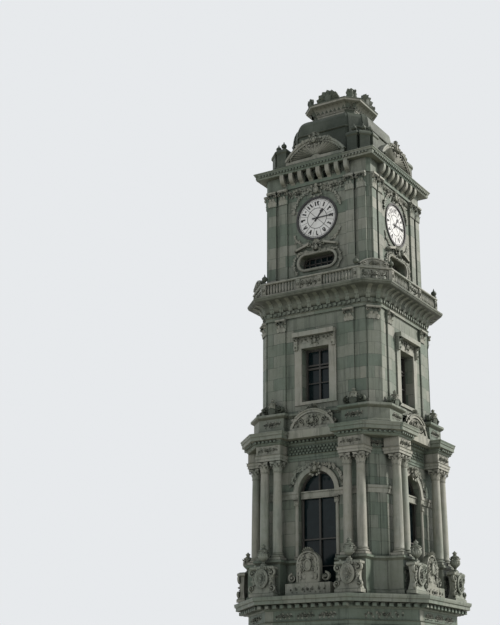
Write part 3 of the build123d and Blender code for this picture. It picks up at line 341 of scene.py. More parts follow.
# flower with petals in two rows
def rosette(radius, depth, petals):
    shapes = [moved(bead(radius * 0.28, 0.8, 10), 0, 0, depth * 0.6)]
    outer = moved(leaf(radius * 0.62, radius * 0.95, depth * 0.8, 1, 2, 5), 0, radius * 0.12)
    inner = moved(leaf(radius * 0.4, radius * 0.55, depth * 0.9, 1, 2, 4), 0, radius * 0.1, depth * 0.3)
    for k in range(petals):
        shapes.append(rotated(outer, 360 * k / petals))
        shapes.append(rotated(inner, 360 * (k + 0.5) / petals))
    return joinShapes(shapes)


# fluted scallop shell, spread over a half circle or less, with a rim that runs back to the ground
def shell(radius, flutes, depth, start, end, inner=0.12, rows=7):
    steps = flutes * 4
    verts = []
    for j in range(rows + 1):
        v = j / rows
        for i in range(steps + 1):
            u = i / steps
            ridge = 0.5 - 0.5 * math.cos(2 * math.pi * flutes * u)
            r = radius * (inner + (1 - inner) * v) * (1 + 0.05 * ridge * (v ** 3))
            a = math.radians(start + (end - start) * u)
            z = depth * (0.25 + 0.75 * v) * (0.35 + 0.65 * ridge)
            verts.append((r * math.cos(a), r * math.sin(a), z))
    verts += [(x, y, 0) for x, y, z in verts[-(steps + 1):]]
    return np.array(verts), turnedOver(gridFaces(rows + 2, steps + 1))


# generic shield on scrolls with foliage round it
def cartouche(width, height, depth):
    field = [(0.5, 0), (0.5, 0.55), (0.44, 0.8), (0.36, 0.82), (0.33, 0.6), (0.2, 0.75), (0.02, 0.82)]
    side = scroll(height * 0.17, height * 0.07, 1.4, depth * 0.8, -60, 22, 1)
    top = scroll(height * 0.13, height * 0.055, 1.3, depth * 0.9, 200, 20, -1)
    shapes = [
        scaled(lathe(field, 28), width * 0.52, height * 0.6, depth),
        bothWays(moved(side, width * 0.34, -height * 0.22)),
        bothWays(moved(top, width * 0.26, height * 0.3)),
        moved(leaf(width * 0.3, height * 0.34, depth * 0.5, 3), 0, height * 0.24, depth * 0.3),
    ]
    for x, y, angle, size in ((0.42, 0.05, -70, 0.3), (0.4, -0.36, -120, 0.26),
                              (0.2, -0.44, -160, 0.26), (0.36, 0.3, -40, 0.24)):
        one = rotated(leaf(height * size * 0.6, height * size, depth * 0.4, 3), angle)
        shapes.append(bothWays(moved(one, width * x, height * y, depth * 0.15)))
    return joinShapes(shapes)


# foliage scrollwork spread over a panel
def scrollwork(width, height, depth, seed, leaves=10, size=0.5):
    dice = random.Random(seed)
    shapes = []
    for hand in hands:
        for k, (x, y, r, start) in enumerate(((0.24, 0.0, 0.30, 200), (0.62, 0.02, 0.26, 20),
                                              (0.90, -0.05, 0.16, 200))):
            room = width / 2 * 1.02 - x * width / 2
            radius = height * r * size * 2
            if radius > room:
                radius = max(0.02, room)
            curl = scroll(radius, radius * 0.30, 1.3, depth, start, 22, 1 if k % 2 else -1)
            curl = moved(curl, x * width / 2, y * height, 0)
            shapes.append(curl if hand > 0 else scaled(curl, x=-1))
    one = leaf(height * 0.24, height * 0.34, depth * 0.9, 3, 2, 5)
    for i in range(leaves):
        x = ((i + 0.5) / leaves - 0.5) * width * 0.95
        y = (0.30 if i % 2 else -0.30) * height * (0.8 + 0.3 * dice.random())
        angle = dice.uniform(-75, 75) + (180 if y < 0 else 0)
        shapes.append(moved(rotated(one, angle), x, y * 0.55, depth * 0.1))
    shapes.append(moved(rosette(height * 0.22, depth, 8), 0, 0, depth * 0.2))
    return joinShapes(shapes)


# shapes gathered for one piece, each placed by x right, y up and z outward
class Pile:
    def __init__(self):
        self.shapes = []

    def put(self, shape, x=0.0, y=0.0, z=0.0):
        self.shapes.append(moved(shape, x, y, z))

    # the same shape at both sides of the middle
    def twice(self, shape, x, y, z):
        for hand in hands:
            self.put(shape, hand * x, y, z)

    # mirrored scrolls; start and lean are degrees, way is which way the right one rolls
    def scrolls(self, x, y, z, radius, width, turnsOf, depth, start, steps, way, lean=0):
        for hand in hands:
            one = scroll(radius, width, turnsOf, depth, start + hand * lean, steps, way * hand)
            self.put(one, hand * x, y, z)

    # mirrored garlands along points whose heights count from the foot
    def garlands(self, points, foot, z, girth, seed, leafSize, depth, density=1.0):
        for hand in hands:
            path = [(hand * x, foot + y) for x, y in points]
            self.put(garland(path, girth, seed + hand, leafSize, depth, density), 0, 0, z)

    def whole(self):
        return joinShapes(self.shapes)


# materials
def setUp(name):
    material = bpy.data.materials.new(name)
    material.use_nodes = True
    tree = material.node_tree
    place = tree.nodes.new("ShaderNodeTexCoord").outputs["Object"]
    return material, tree, tree.nodes["Principled BSDF"], place


# a value for a socket is a number, a colour or another socket
def feed(tree, socket, value):
    if isinstance(value, (int, float)):
        socket.default_value = value
    elif isinstance(value, tuple):
        socket.default_value = (*value, 1) if socket.type == "RGBA" else value
    else:
        tree.links.new(value, socket)


def addNode(tree, kind, **values):
    node = tree.nodes.new(kind)
    for key, value in values.items():
        feed(tree, node.inputs[key.replace("_", " ")], value)
    return node


def mathNode(tree, operation, a, b):
    node = tree.nodes.new("ShaderNodeMath")
    node.operation = operation
    feed(tree, node.inputs[0], a)
    feed(tree, node.inputs[1], b)
    return node.outputs[0]


def times(tree, a, b):
    return mathNode(tree, "MULTIPLY", a, b)


def mixColors(tree, factor, a, b, mode="MIX"):
    node = tree.nodes.new("ShaderNodeMix")
    node.data_type = "RGBA"
    node.blend_type = mode
    for place, value in ((0, factor), (6, a), (7, b)):
        feed(tree, node.inputs[place], value)
    return node.outputs[2]


def ramp(tree, value, low, high):
    return addNode(tree, "ShaderNodeMapRange", Value=value, From_Min=low, From_Max=high).outputs["Result"]


def noiseAt(tree, vector, scale, detail, roughness, stretch=None):
    if stretch:
        vector = addNode(tree, "ShaderNodeMapping", Vector=vector, Scale=stretch).outputs["Vector"]
    values = {"Vector": vector, "Scale": scale, "Detail": detail, "Roughness": roughness}
    return addNode(tree, "ShaderNodeTexNoise", **values).outputs["Fac"]


def addBump(tree, shader, height, strength, distance):
    bump = addNode(tree, "ShaderNodeBump", Strength=strength, Distance=distance, Height=height)
    tree.links.new(bump.outputs[0], shader.inputs["Normal"])


# position along the wall and height, so that the block pattern runs level round every side
def wallPlace(tree, place, normal):
    across = addNode(tree, "ShaderNodeCombineXYZ", X=times(tree, normal.outputs["Y"], -1.0),
                     Y=normal.outputs["X"])
    along = tree.nodes.new("ShaderNodeVectorMath")
    along.operation = "DOT_PRODUCT"
    tree.links.new(place, along.inputs[0])
    tree.links.new(across.outputs[0], along.inputs[1])
    spot = addNode(tree, "ShaderNodeSeparateXYZ", Vector=place)
    wall = addNode(tree, "ShaderNodeCombineXYZ", X=along.outputs["Value"], Y=spot.outputs["Z"])
    return wall.outputs[0]


def blockPattern(tree, look, wall):
    brick = addNode(
        tree, "ShaderNodeTexBrick", Vector=wall, Color1=look["cool"], Color2=look["warm"],
        Mortar=tuple(c * 0.45 for c in look["cool"]), Scale=1.0, Brick_Width=look["blockWidth"],
        Row_Height=look["blockHeight"], Mortar_Size=0.007, Mortar_Smooth=0.3, Bias=look["bias"],
    )
    brick.offset = 0.5
    return brick.outputs["Color"], brick.outputs["Fac"]


# weathered stone: cut blocks of two tints, rain streaks, moss on ledges, and painted shade: the soot tint in
# hollows and a dark tint on faces turned down
def makeStone(name, look):
    material, tree, shader, place = setUp(name)
    geometry = tree.nodes.new("ShaderNodeNewGeometry")
    normal = addNode(tree, "ShaderNodeSeparateXYZ", Vector=geometry.outputs["True Normal"])
    mottle = noiseAt(tree, place, 2.6, 6.0, 0.68)
    cloud = noiseAt(tree, place, 0.45, 3.0, 0.55)
    grain = noiseAt(tree, place, 46.0, 5.0, 0.7)
    pits = noiseAt(tree, place, 11.0, 5.0, 0.75)
    streak = noiseAt(tree, place, 3.4, 5.0, 0.65, (1.7, 1.7, 0.16))
    height = mathNode(tree, "ADD", times(tree, grain, 0.35), times(tree, pits, 0.8))
    if look["blocks"]:
        color, joint = blockPattern(tree, look, wallPlace(tree, place, normal))
        height = mathNode(tree, "SUBTRACT", height, times(tree, joint, 1.2))
    else:
        color = mixColors(tree, ramp(tree, cloud, 0.38, 0.62), look["cool"], look["warm"])
    dim = mixColors(tree, 1.0, color, (0.78, 0.80, 0.74), "MULTIPLY")
    color = mixColors(tree, ramp(tree, mottle, 0.35, 0.75), color, dim)
    top = mathNode(tree, "ADD", normal.outputs["Z"], times(tree, mottle, 0.5))
    # ambient occlusion finds the hollows for the painted shade
    hollow = addNode(tree, "ShaderNodeAmbientOcclusion", Distance=0.28)
    hollow.samples = 4
    stains = (
        (ramp(tree, cloud, 0.42, 0.7), 0.55, look["moss"]),
        (ramp(tree, streak, 0.5, 0.78), look["streaks"], look["sootAndShade"]),
        (ramp(tree, pits, 0.56, 0.8), 0.35, look["sootAndShade"]),
        (ramp(tree, top, 0.55, 1.1), 0.85, look["ledge"]),
        # painted shade: faces turned down darken towards the under tint
        (ramp(tree, times(tree, normal.outputs["Z"], -1.0), 0.35, 0.9), 0.7, look["under"]),
        # painted shade: hollows found by ambient occlusion darken towards the soot tint
        (ramp(tree, hollow.outputs["AO"], 0.72, 0.25), look["grime"], look["sootAndShade"]),
    )
    for mask, amount, tint in stains:
        color = mixColors(tree, times(tree, mask, amount), color, tint)
    feed(tree, shader.inputs["Base Color"], color)
    feed(tree, shader.inputs["Roughness"], ramp(tree, mottle, -0.9, 1.5))
    shader.inputs["Specular IOR Level"].default_value = 0.25
    addBump(tree, shader, height, look["bump"], 0.02)
    return material


# the soot tint is real soot on streaks and pits, and painted shade in hollows; the hollow amount sets how
# dark that painted shade is
stoneLook = {
    "blocks": True, "blockWidth": 0.92, "blockHeight": 0.455, "bias": -0.15,
    "cool": (0.146, 0.182, 0.150), "warm": (0.312, 0.312, 0.274), "moss": (0.150, 0.186, 0.146),
    # the under tint is painted shade on faces turned down
    "sootAndShade": (0.034, 0.042, 0.034), "ledge": (0.050, 0.064, 0.046), "under": (0.090, 0.092, 0.060),
    "streaks": 0.72, "grime": 0.88, "bump": 0.5,
}


def plainLook(cool, warm, **changes):
    return dict(stoneLook, blocks=False, cool=cool, warm=warm, **changes)


roseLook = plainLook((0.268, 0.290, 0.252), (0.445, 0.414, 0.372), streaks=0.62)
carvedLook = plainLook((0.250, 0.274, 0.236), (0.424, 0.402, 0.356), grime=0.95, streaks=0.78, bump=0.6)
roofLook = plainLook((0.052, 0.065, 0.052), (0.100, 0.110, 0.088), streaks=0.7, grime=0.9)
# darker copy of the stone, painted shade for the cove under the balcony, with a still darker under tint
shadedCoveLook = plainLook((0.088, 0.102, 0.082), (0.155, 0.156, 0.126), under=(0.034, 0.036, 0.024), streaks=0.85)
mouldLook = dict(stoneLook, bias=-0.3, blockWidth=1.3, blockHeight=3.0)

wallStone = makeStone("wallStone", stoneLook)
roseStone = makeStone("roseStone", roseLook)
carvedStone = makeStone("carvedStone", carvedLook)
roofStone = makeStone("roofStone", roofLook)
mouldStone = makeStone("mouldStone", mouldLook)
shadedCoveStone = makeStone("shadedCoveStone", shadedCoveLook)


def makeEnamel():
    look = {"white": (0.75, 0.76, 0.75), "aged": (0.60, 0.60, 0.57), "roughness": 0.28}
    material, tree, shader, place = setUp("dialEnamel")
    stain = ramp(tree, noiseAt(tree, place, 3.0, 6.0, 0.7), 0.4, 0.75)
    feed(tree, shader.inputs["Base Color"], mixColors(tree, stain, look["white"], look["aged"]))
    shader.inputs["Roughness"].default_value = look["roughness"]
    addBump(tree, shader, noiseAt(tree, place, 9.0, 3.0, 0.6), 0.12, 0.01)
    return material


def makeIron(name, color, rust):
    material, tree, shader, place = setUp(name)
    worn = ramp(tree, noiseAt(tree, place, 14.0, 5.0, 0.7), 0.55, 0.8)
    feed(tree, shader.inputs["Base Color"], mixColors(tree, times(tree, worn, 0.5), color, rust))
    feed(tree, shader.inputs["Roughness"], ramp(tree, worn, -1.2, 1.4))
    addBump(tree, shader, noiseAt(tree, place, 60.0, 4.0, 0.7), 0.25, 0.004)
    return material


def makeWood(name, light, dark):
    material, tree, shader, place = setUp(name)
    fibre = noiseAt(tree, place, 7.0, 6.0, 0.6, (9.0, 9.0, 0.5))
    feed(tree, shader.inputs["Base Color"], mixColors(tree, ramp(tree, fibre, 0.35, 0.7), dark, light))
    feed(tree, shader.inputs["Roughness"], ramp(tree, fibre, -0.6, 1.4))
    addBump(tree, shader, fibre, 0.3, 0.003)
    return material


def makeGlass():
    look = {"clear": (0.005, 0.012, 0.014), "dusty": (0.014, 0.026, 0.028), "specular": 0.22}
    material, tree, shader, place = setUp("windowGlass")
    dust = ramp(tree, noiseAt(tree, place, 2.2, 5.0, 0.65), 0.45, 0.8)
    feed(tree, shader.inputs["Base Color"], mixColors(tree, dust, look["clear"], look["dusty"]))
    feed(tree, shader.inputs["Roughness"], ramp(tree, dust, -0.25, 3.2))
    shader.inputs["Specular IOR Level"].default_value = look["specular"]
    addBump(tree, shader, noiseAt(tree, place, 1.3, 2.0, 0.5), 0.1, 0.02)
    return material


dialEnamel = makeEnamel()
rimIron = makeIron("rimIron", (0.020, 0.020, 0.020), (0.060, 0.045, 0.035))
handIron = makeIron("handIron", (0.012, 0.012, 0.012), (0.035, 0.030, 0.026))
darkWood = makeWood("darkWood", (0.058, 0.056, 0.047), (0.022, 0.021, 0.018))
floorWood = makeWood("floorWood", (0.240, 0.170, 0.110), (0.120, 0.080, 0.050))
windowGlass = makeGlass()
print("materials ready")

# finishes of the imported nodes; what isn't named here is wall stone
finishes = {
    "dials": dialEnamel, "dial_rims": rimIron, "window_frames": darkWood, "entrance_door": darkWood,
    # the balcony slab takes the darker cove stone, which paints the shade under the balcony
    "window_glass": windowGlass, "floors": floorWood, "balcony_slab": shadedCoveStone,
}
for finish, names in (
    (mouldStone, ("base_steps", "ground_plinth", "ground_frieze", "ground_cornice", "first_plinth",
                  "column_pedestals", "first_frieze", "first_cornice", "attic_course", "second_frieze",
                  "clock_frieze", "clock_cornice")),
    (roseStone, ("first_columns", "arch_columns", "archivolts", "impost_band", "column_blocks",
                 "window_surrounds", "oval_surrounds", "balustrade", "crown")),
    (roofStone, ("domed_roof", "roof_cap", "crown_crests", "roof_parapets", "finials")),
    (carvedStone, ("medallion_pedestals", "vases", "parapet_stones", "attic_panels", "roof_lunettes",
                   "cornice_consoles")),
):
    finishes.update(dict.fromkeys(names, finish))
for name, node in nodes.items():
    finish = handIron if name.endswith("_hand") else finishes.get(name, wallStone)
    node.data.materials.clear()
    node.data.materials.append(finish)
print("nodes finished")

# camera, solved from storey edges and dials
cameraLook = {"place": (21.59, -41.94, 2.1), "yaw": 31.875, "pitch": 18.303, "roll": 0.296, "lens": 71.6}


def placeCamera():
    data = bpy.data.cameras.new("camera")
    data.lens = cameraLook["lens"]
    data.sensor_width = 36
    data.clip_end = 500
    camera = bpy.data.objects.new("camera", data)
    matrix = Matrix.Translation(cameraLook["place"])
    for angle, axis in ((cameraLook["yaw"], "Z"), (90 + cameraLook["pitch"], "X"), (cameraLook["roll"], "Z")):
        matrix = matrix @ Matrix.Rotation(math.radians(angle), 4, axis)
    camera.matrix_world = matrix
    bpy.context.scene.collection.objects.link(camera)
    bpy.context.scene.camera = camera


placeCamera()

# columns of the first storey, with a moulded foot, a swelling shaft and a leafy cap
columnLook = {
    "radius": 0.178, "neck": 0.150, "footHalf": 0.232, "footHeight": 0.10, "capHeight": 0.40,
    "capHalf": 0.236, "abacus": 0.075, "inner": 1.44, "outer": 1.98, "out": 2.93,
}


def cornerAbacus(half, thick, sink=0.16):
    side = [(t * half, -half * (1 - sink * (1 - t * t))) for t in np.linspace(-0.86, 0.86, 9)]
    outline = []
    for turn in turns:
        c, s = math.cos(math.radians(turn)), math.sin(math.radians(turn))
        outline += [(x * c - y * s, x * s + y * c) for x, y in side]
    under = plate([(x * 0.93, y * 0.93) for x, y in outline], thick * 0.45, 0.0, -thick * 0.4)
    return joinShapes([plate(outline, thick, thick * 0.3), under])


def leafRing(radius, count, width, height, curl, base, turn=0.0):
    one = leaf(width, height, curl, 4, 4, 8)
    return joinShapes([onSide(one, turn + 360 * k / count, 0, radius, base) for k in range(count)])


def fullCapital(neck, half, height, abacus):
    bell = [(neck + 0.012, -0.02), (neck + 0.018, 0.0), (neck, 0.015), (neck * 0.98, height * 0.5),
            (half * 0.78, height - abacus)]
    shapes = [
        lathe(bell, 20),
        leafRing(neck * 0.98, 8, neck * 0.78, height * 0.46, neck * 0.42, 0.01),
        leafRing(neck, 8, neck * 0.72, height * 0.66, neck * 0.52, 0.03, 22.5),
    ]
    curl = scroll(half * 0.30, half * 0.11, 1.35, half * 0.16, 120, 18, -1)
    flower = rosette(half * 0.2, 0.03, 6)
    for k in range(4):
        for hand in hands:
            horn = onEdge(curl, hand, half * 0.98, 0.004, height - abacus - half * 0.32)
            shapes.append(rotated(horn, 45 + 90 * k))
        shapes.append(onSide(flower, 90 * k, 0, half * 0.84, height - abacus * 0.6))
    shapes.append(moved(cornerAbacus(half, abacus), 0, 0, height - abacus))
    return joinShapes(shapes)


# torus, hollow and torus under each shaft
def columnFoot(r, low):
    torus, tube = r * 1.16, 0.036
    profile = [(r * 1.26, low)]
    for a in np.radians(np.linspace(-70, 80, 7)):
        profile.append((torus + tube * math.cos(a), low + 0.038 + tube * math.sin(a)))
    rings = ((1.12, 0.09), (1.06, 0.105), (1.13, 0.125), (1.15, 0.142), (1.08, 0.156))
    return profile + [(r * share, low + rise) for share, rise in rings]


def makeColumns():
    c = columnLook
    r, n, half = c["radius"], c["neck"], c["footHalf"]
    footTop = pedestalTop + c["footHeight"]
    shaftLow, shaftHigh = footTop + 0.16, firstWallTop - c["capHeight"]
    profile = columnFoot(r, footTop) + [(r, shaftLow + 0.02)]
    for t in np.linspace(0.08, 1, 8):
        profile.append((r - (r - n) * t ** 1.8, shaftLow + (shaftHigh - shaftLow - 0.03) * t))
    profile += [(n + 0.016, shaftHigh - 0.022), (n + 0.016, shaftHigh)]
    foot = scaled(plate([(-1, -1), (1, -1), (1, 1), (-1, 1)], 1, 0.03), half, half, c["footHeight"])
    one = joinShapes([
        moved(foot, 0, 0, pedestalTop),
        lathe(profile, 32),
        moved(fullCapital(n, c["capHalf"], c["capHeight"], c["abacus"]), 0, 0, shaftHigh),
    ])
    places = [(hand * c[key], c["out"], 0) for key in ("inner", "outer") for hand in hands]
    addPiece("pairedColumns", standing(one, places), roseStone, ("first_columns",))


makeColumns()


# capitals of the pilasters
def flatCapital(width, height, depth):
    pile = Pile()
    for x, size in ((-0.32, 1.0), (0.0, 1.08), (0.32, 1.0)):
        pile.put(leaf(width * 0.36, height * 0.42 * size, depth * 0.7, 4), x * width)
    for x in (-0.17, 0.17):
        pile.put(leaf(width * 0.34, height * 0.62, depth * 0.9, 4), x * width, 0.02)
    curl = scroll(height * 0.155, height * 0.06, 1.4, depth, 110, 18, -1)
    pile.put(bothWays(moved(curl, width / 2 - height * 0.06, height * 0.70)))
    pile.put(rosette(height * 0.11, depth * 0.6, 6), 0, height * 0.80, depth * 0.4)
    pile.put(slab(width * 1.16, height * 0.13, depth * 1.05, 0.01), 0, height * 0.935)
    pile.put(slab(width * 1.08, height * 0.05, depth * 0.75), 0, height * 0.85)
    return pile.whole()


pilasterLook = {
    "second": {"places": (1.46,), "width": 0.38, "height": 0.50, "proud": 0.088, "corner": 0.50},
    "clock": {"places": (1.485, 1.99), "width": 0.37, "height": 0.62, "proud": 0.104},
    "ground": {"places": (1.29,), "width": 0.46, "height": 0.26, "proud": 0.115, "corner": 0.92},
}


def makePilasterCaps():
    depth = 0.10
    shapes = []
    for key, face, top, cut in (
        ("second", secondFace, secondWallTop, secondCut),
        ("clock", clockFace, clockWallTop, None),
        ("ground", groundFace, highOf("ground_walls"), groundCut),
    ):
        p = pilasterLook[key]
        foot = top - p["height"] - 0.01
        flat = flatCapital(p["width"], p["height"], depth)
        for turn in turns:
            for x in p["places"]:
                for hand in hands:
                    shapes.append(onSide(flat, turn, hand * x, face + p["proud"], foot))
            if cut:
                wide = flatCapital(p["corner"], p["height"], depth)
                shapes.append(onSide(wide, turn + 45, 0, cut + p["proud"], foot))
    addPiece("pilasterCapitals", joinShapes(shapes), carvedStone)


makePilasterCaps()


# dials: plain numbers, rings, minute marks and the seams of the four sectors
dialLook = {
    "lift": 0.0005, "thick": 0.003, "innerRing": 0.50, "minuteRing": 0.905, "edge": 0.965,
    "numberLow": 0.62, "numberHigh": 0.84, "numberSize": 0.150, "heavy": 0.062,
    "ringWidths": (0.022, 0.012, 0.020),
}
digits = {  # strokes of plain eastern digits, in a box one wide and one high
    "1": [(0.10, 0.0), (-0.08, 1.0)],
    "2": [(0.05, 0.0), (-0.28, 1.0), (-0.06, 0.70), (0.30, 0.96)],
    "3": [(0.0, 0.0), (-0.34, 1.0), (-0.20, 0.72), (0.0, 0.94), (0.14, 0.70), (0.36, 0.96)],
    "4": [(0.28, 1.0), (-0.18, 0.76), (0.16, 0.54), (-0.24, 0.26), (0.28, 0.04)],
    "5": [(0.0, 1.0), (-0.30, 0.40), (-0.16, 0.04), (0.0, 0.16), (0.16, 0.04), (0.30, 0.40), (0.0, 1.0)],
    "6": [(-0.28, 0.96), (0.16, 0.88), (0.20, 0.0)],
    "7": [(-0.34, 1.0), (0.0, 0.0), (0.34, 1.0)],
    "8": [(-0.34, 0.0), (0.0, 1.0), (0.34, 0.0)],
    "9": [(0.18, 0.0), (0.14, 1.0), (-0.24, 0.92), (-0.22, 0.62), (0.16, 0.66)],
    "0": [(0.0, 0.34), (0.0, 0.66)],
}


def flatRing(radius, width, sides=96):
    w, thick = width / 2, dialLook["thick"]
    path = arcPoints(radius, 0, 360 * (1 - 1 / sides), sides)
    return band(path, [(-w, 0), (-w, thick), (w, thick), (w, 0)], True)


def stroke(x0, y0, x1, y1, width):
    size = math.hypot(x1 - x0, y1 - y0)
    nx, ny = (y0 - y1) / size * width / 2, (x1 - x0) / size * width / 2
    outline = [(x0 + nx, y0 + ny), (x1 + nx, y1 + ny), (x1 - nx, y1 - ny), (x0 - nx, y0 - ny)]
    return plate(outline, dialLook["thick"])


def dialNumber(text):
    d = dialLook
    low, high = dialRadius * d["numberLow"], dialRadius * d["numberHigh"]
    shapes = []
    for i, digit in enumerate(text):
        middle = (i - (len(text) - 1) / 2) * d["numberSize"] * 0.86
        points = [(middle + x * d["numberSize"], low + y * (high - low)) for x, y in digits[digit]]
        for k, (start, end) in enumerate(zip(points, points[1:])):
            shapes.append(stroke(*start, *end, d["heavy"] * (1.0 if k == 0 else 0.72)))
    return joinShapes(shapes)


def makeDialMarks():
    d = dialLook
    radii = inner, minutes, edge = [dialRadius * d[k] for k in ("innerRing", "minuteRing", "edge")]
    shapes = [flatRing(radius, width) for radius, width in zip(radii, d["ringWidths"])]
    for k in range(12):
        shapes.append(rotated(dialNumber(str(k or 12)), -30 * k))
        shapes.append(rotated(stroke(0, inner, 0, minutes, 0.010), -30 * k - 15))
    for k in range(60):
        shapes.append(rotated(stroke(0, minutes, 0, edge, 0.007 if k % 5 else 0.014), -6 * k))
    for k in range(4):
        shapes.append(rotated(stroke(0, 0.07, 0, dialRadius * 0.98, 0.017), 45 + 90 * k))
    marks = everySide(joinShapes(shapes), out=clockFace + d["lift"], z=dialMiddle)
    addPiece("dialMarks", marks, handIron)


makeDialMarks()

# vases on the medallion pedestals and on the attic course, with gadroons and handles
vaseLook = {"x": 1.72, "out": 3.45, "urnX": 1.71, "urnOut": 2.82, "urnShare": 0.8, "handle": 0.10}
vaseProfile = [
    (0.108, 0), (0.108, 0.05), (0.095, 0.062), (0.060, 0.085), (0.045, 0.115), (0.052, 0.13),
    (0.062, 0.14), (0.05, 0.152),  # foot
    (0.075, 0.17), (0.12, 0.21), (0.16, 0.255), (0.183, 0.305), (0.188, 0.35), (0.178, 0.375),  # belly
    (0.186, 0.385), (0.192, 0.40), (0.186, 0.415), (0.165, 0.425), (0.150, 0.47), (0.145, 0.51),
    (0.165, 0.535), (0.170, 0.55), (0.150, 0.565),  # neck
    (0.115, 0.585), (0.075, 0.61), (0.050, 0.635), (0.060, 0.65), (0.085, 0.675), (0.080, 0.705),
    (0.050, 0.735), (0.022, 0.76), (0.012, 0.78),  # lid
]


def makeVase():
    x = np.linspace(-0.13, 0.13, 7)
    swag = garland(np.column_stack((x, -0.05 * (1 - (x / 0.13) ** 2))), 0.02, 7, 0.05, 0.03, 0.7)
    handle = onEdge(scroll(vaseLook["handle"], 0.035, 1.15, 0.04, -90, 20, 1), 1, 0.19, -0.02, 0.40)
    shapes = [
        lathe(vaseProfile, 64, 16, 0.10, 0.16, 0.38),
        leafRing(0.05, 6, 0.07, 0.13, 0.05, 0.60),
        leafRing(0.15, 12, 0.075, 0.10, 0.03, 0.42, 15),
        handle,
        rotated(handle, 180),
    ]
    return joinShapes(shapes + [onSide(swag, turn, 0, 0.135, 0.49) for turn in turns])


def makeVases():
    v = vaseLook
    one = makeVase()
    small = scaled(one, v["urnShare"], v["urnShare"], v["urnShare"])
    large = [(hand * v["x"], v["out"], highOf("medallion_pedestals")) for hand in hands]
    urns = [(hand * v["urnX"], v["urnOut"], atticTop) for hand in hands]
    vases = joinShapes([standing(one, large), standing(small, urns)])
    addPiece("stoneVases", vases, carvedStone, ("vases",))
    crest = Pile()
    crest.scrolls(0.30, 0.17, -0.10, 0.17, 0.07, 1.5, 0.20, 90, 24, -1)
    crest.twice(leaf(0.20, 0.34, 0.05, 4), 0.16, 0.02, -0.02)
    crest.put(leaf(0.26, 0.30, 0.06, 4), 0, 0.0, 0.10)
    crests = Pile()
    crests.twice(crest.whole(), v["urnX"], atticTop, v["urnOut"])
    addPiece("atticCrests", everySide(crests.whole()), roofStone)


makeVases()


finialLook = {
    "x": 1.60, "out": 2.08, "corner": 1.93, "balconyX": 1.985, "balconyOut": 2.955, "railRise": 0.56,
}


def makeFinials():
    f = finialLook
    profile = [(0.095, 0), (0.095, 0.03), (0.085, 0.045), (0.05, 0.06), (0.036, 0.085), (0.042, 0.098),
               (0.036, 0.11), (0.05, 0.12)]
    for a in np.radians(np.linspace(-70, 70, 9)):
        profile.append((0.108 * math.cos(a) + 0.004, 0.215 + 0.105 * math.sin(a)))
    profile += [(0.03, 0.325), (0.036, 0.335), (0.026, 0.35), (0.02, 0.385), (0.008, 0.42)]
    ball = lathe(profile, 40, 8, 0.07, 0.125, 0.31)
    one = joinShapes([ball, leafRing(0.04, 8, 0.05, 0.09, 0.045, 0.10)])
    top, rail = highOf("roof_parapets"), balconyFloor + f["railRise"]
    places = [(f["corner"], f["corner"], top)]
    for hand in hands:
        places += [(hand * f["x"], f["out"], top), (hand * f["balconyX"], f["balconyOut"], rail)]
    addPiece("ballFinials", standing(one, places), roofStone, ("finials",))


makeFinials()


# arches of the first storey: garlands over them, a cartouche on the key, small caps, a stone transom
archLook = {
    "half": 0.755, "spring": 10.12, "keyTop": 11.14, "keyOut": 0.15, "capX": 0.835, "capLow": 9.68,
    "capHeight": 0.22, "bands": (7.75, 7.80, 9.66),
}


def makeArchDressing():
    a = archLook
    face, spring = firstFace, a["spring"]
    pile = Pile()
    pile.put(cartouche(0.36, 0.46, 0.13), 0, a["keyTop"] - 0.20, face + a["keyOut"] - 0.02)
    pile.put(leaf(0.20, 0.22, 0.10, 3), 0, spring + a["half"], face + a["keyOut"] - 0.01)
    spandrel = [(0.20, 0.93), (0.42, 0.96), (0.66, 0.90), (0.86, 0.74), (1.00, 0.50), (1.06, 0.24)]
    pile.garlands(spandrel, spring, face + 0.012, 0.055, 20, 0.12, 0.085, 1.1)
    pile.twice(rosette(0.075, 0.05, 7), 1.05, spring + 0.30, face + 0.05)
    for r, size, proud in ((0.80, 0.018, 0.048), (0.925, 0.022, 0.070)):  # beads along the arch ring
        for x, y in arcPoints(r, 8, 172, 44, 0, spring):
            if abs(x) > 0.16:
                pile.put(bead(size, 0.9, 6), x, y, face + proud)
    pile.twice(flatCapital(0.165, a["capHeight"], 0.05), a["capX"], a["capLow"] - 0.002, face + 0.078)
    for y in a["bands"]:
        pile.twice(slab(0.16, 0.03, 0.10, 0.012), a["capX"], y, face)
    for height, depth, rise in ((0.235, 0.075, -0.10), (0.050, 0.110, 0.025), (0.035, 0.095, -0.205)):
        pile.put(slab(1.50, height, depth, 0.012), 0, spring + rise, face - 0.214)
    addPiece("archDressing", everySide(pile.whole()), carvedStone)


makeArchDressing()


# rows of blocks and dentils: width, height and depth of a block, and the pitch of the row;
# a dentil has no height here, because it follows the cornice
rowLook = {
    "dentil": (0.085, 0.10, 0.165), "blockDentil": (0.085, 0.08, 0.165),
    "square": (0.085, 0.075, 0.055, 0.135),
    "ground": (0.15, 0.12, 0.22, 0.30), "attic": (0.07, 0.055, 0.05, 0.125),
    "clock": (0.07, 0.075, 0.07, 0.1367), "second": (0.10, 0.11, 0.05, 0.2),
}


def blockRow(size, low, high, z, out):
    width, height, depth, pitch = size
    count = max(1, int((high - low) / pitch))
    step = (high - low) / count
    return joinShapes([moved(slab(width, height, depth), low + step * (i + 0.5), z, out)
                       for i in range(count)])


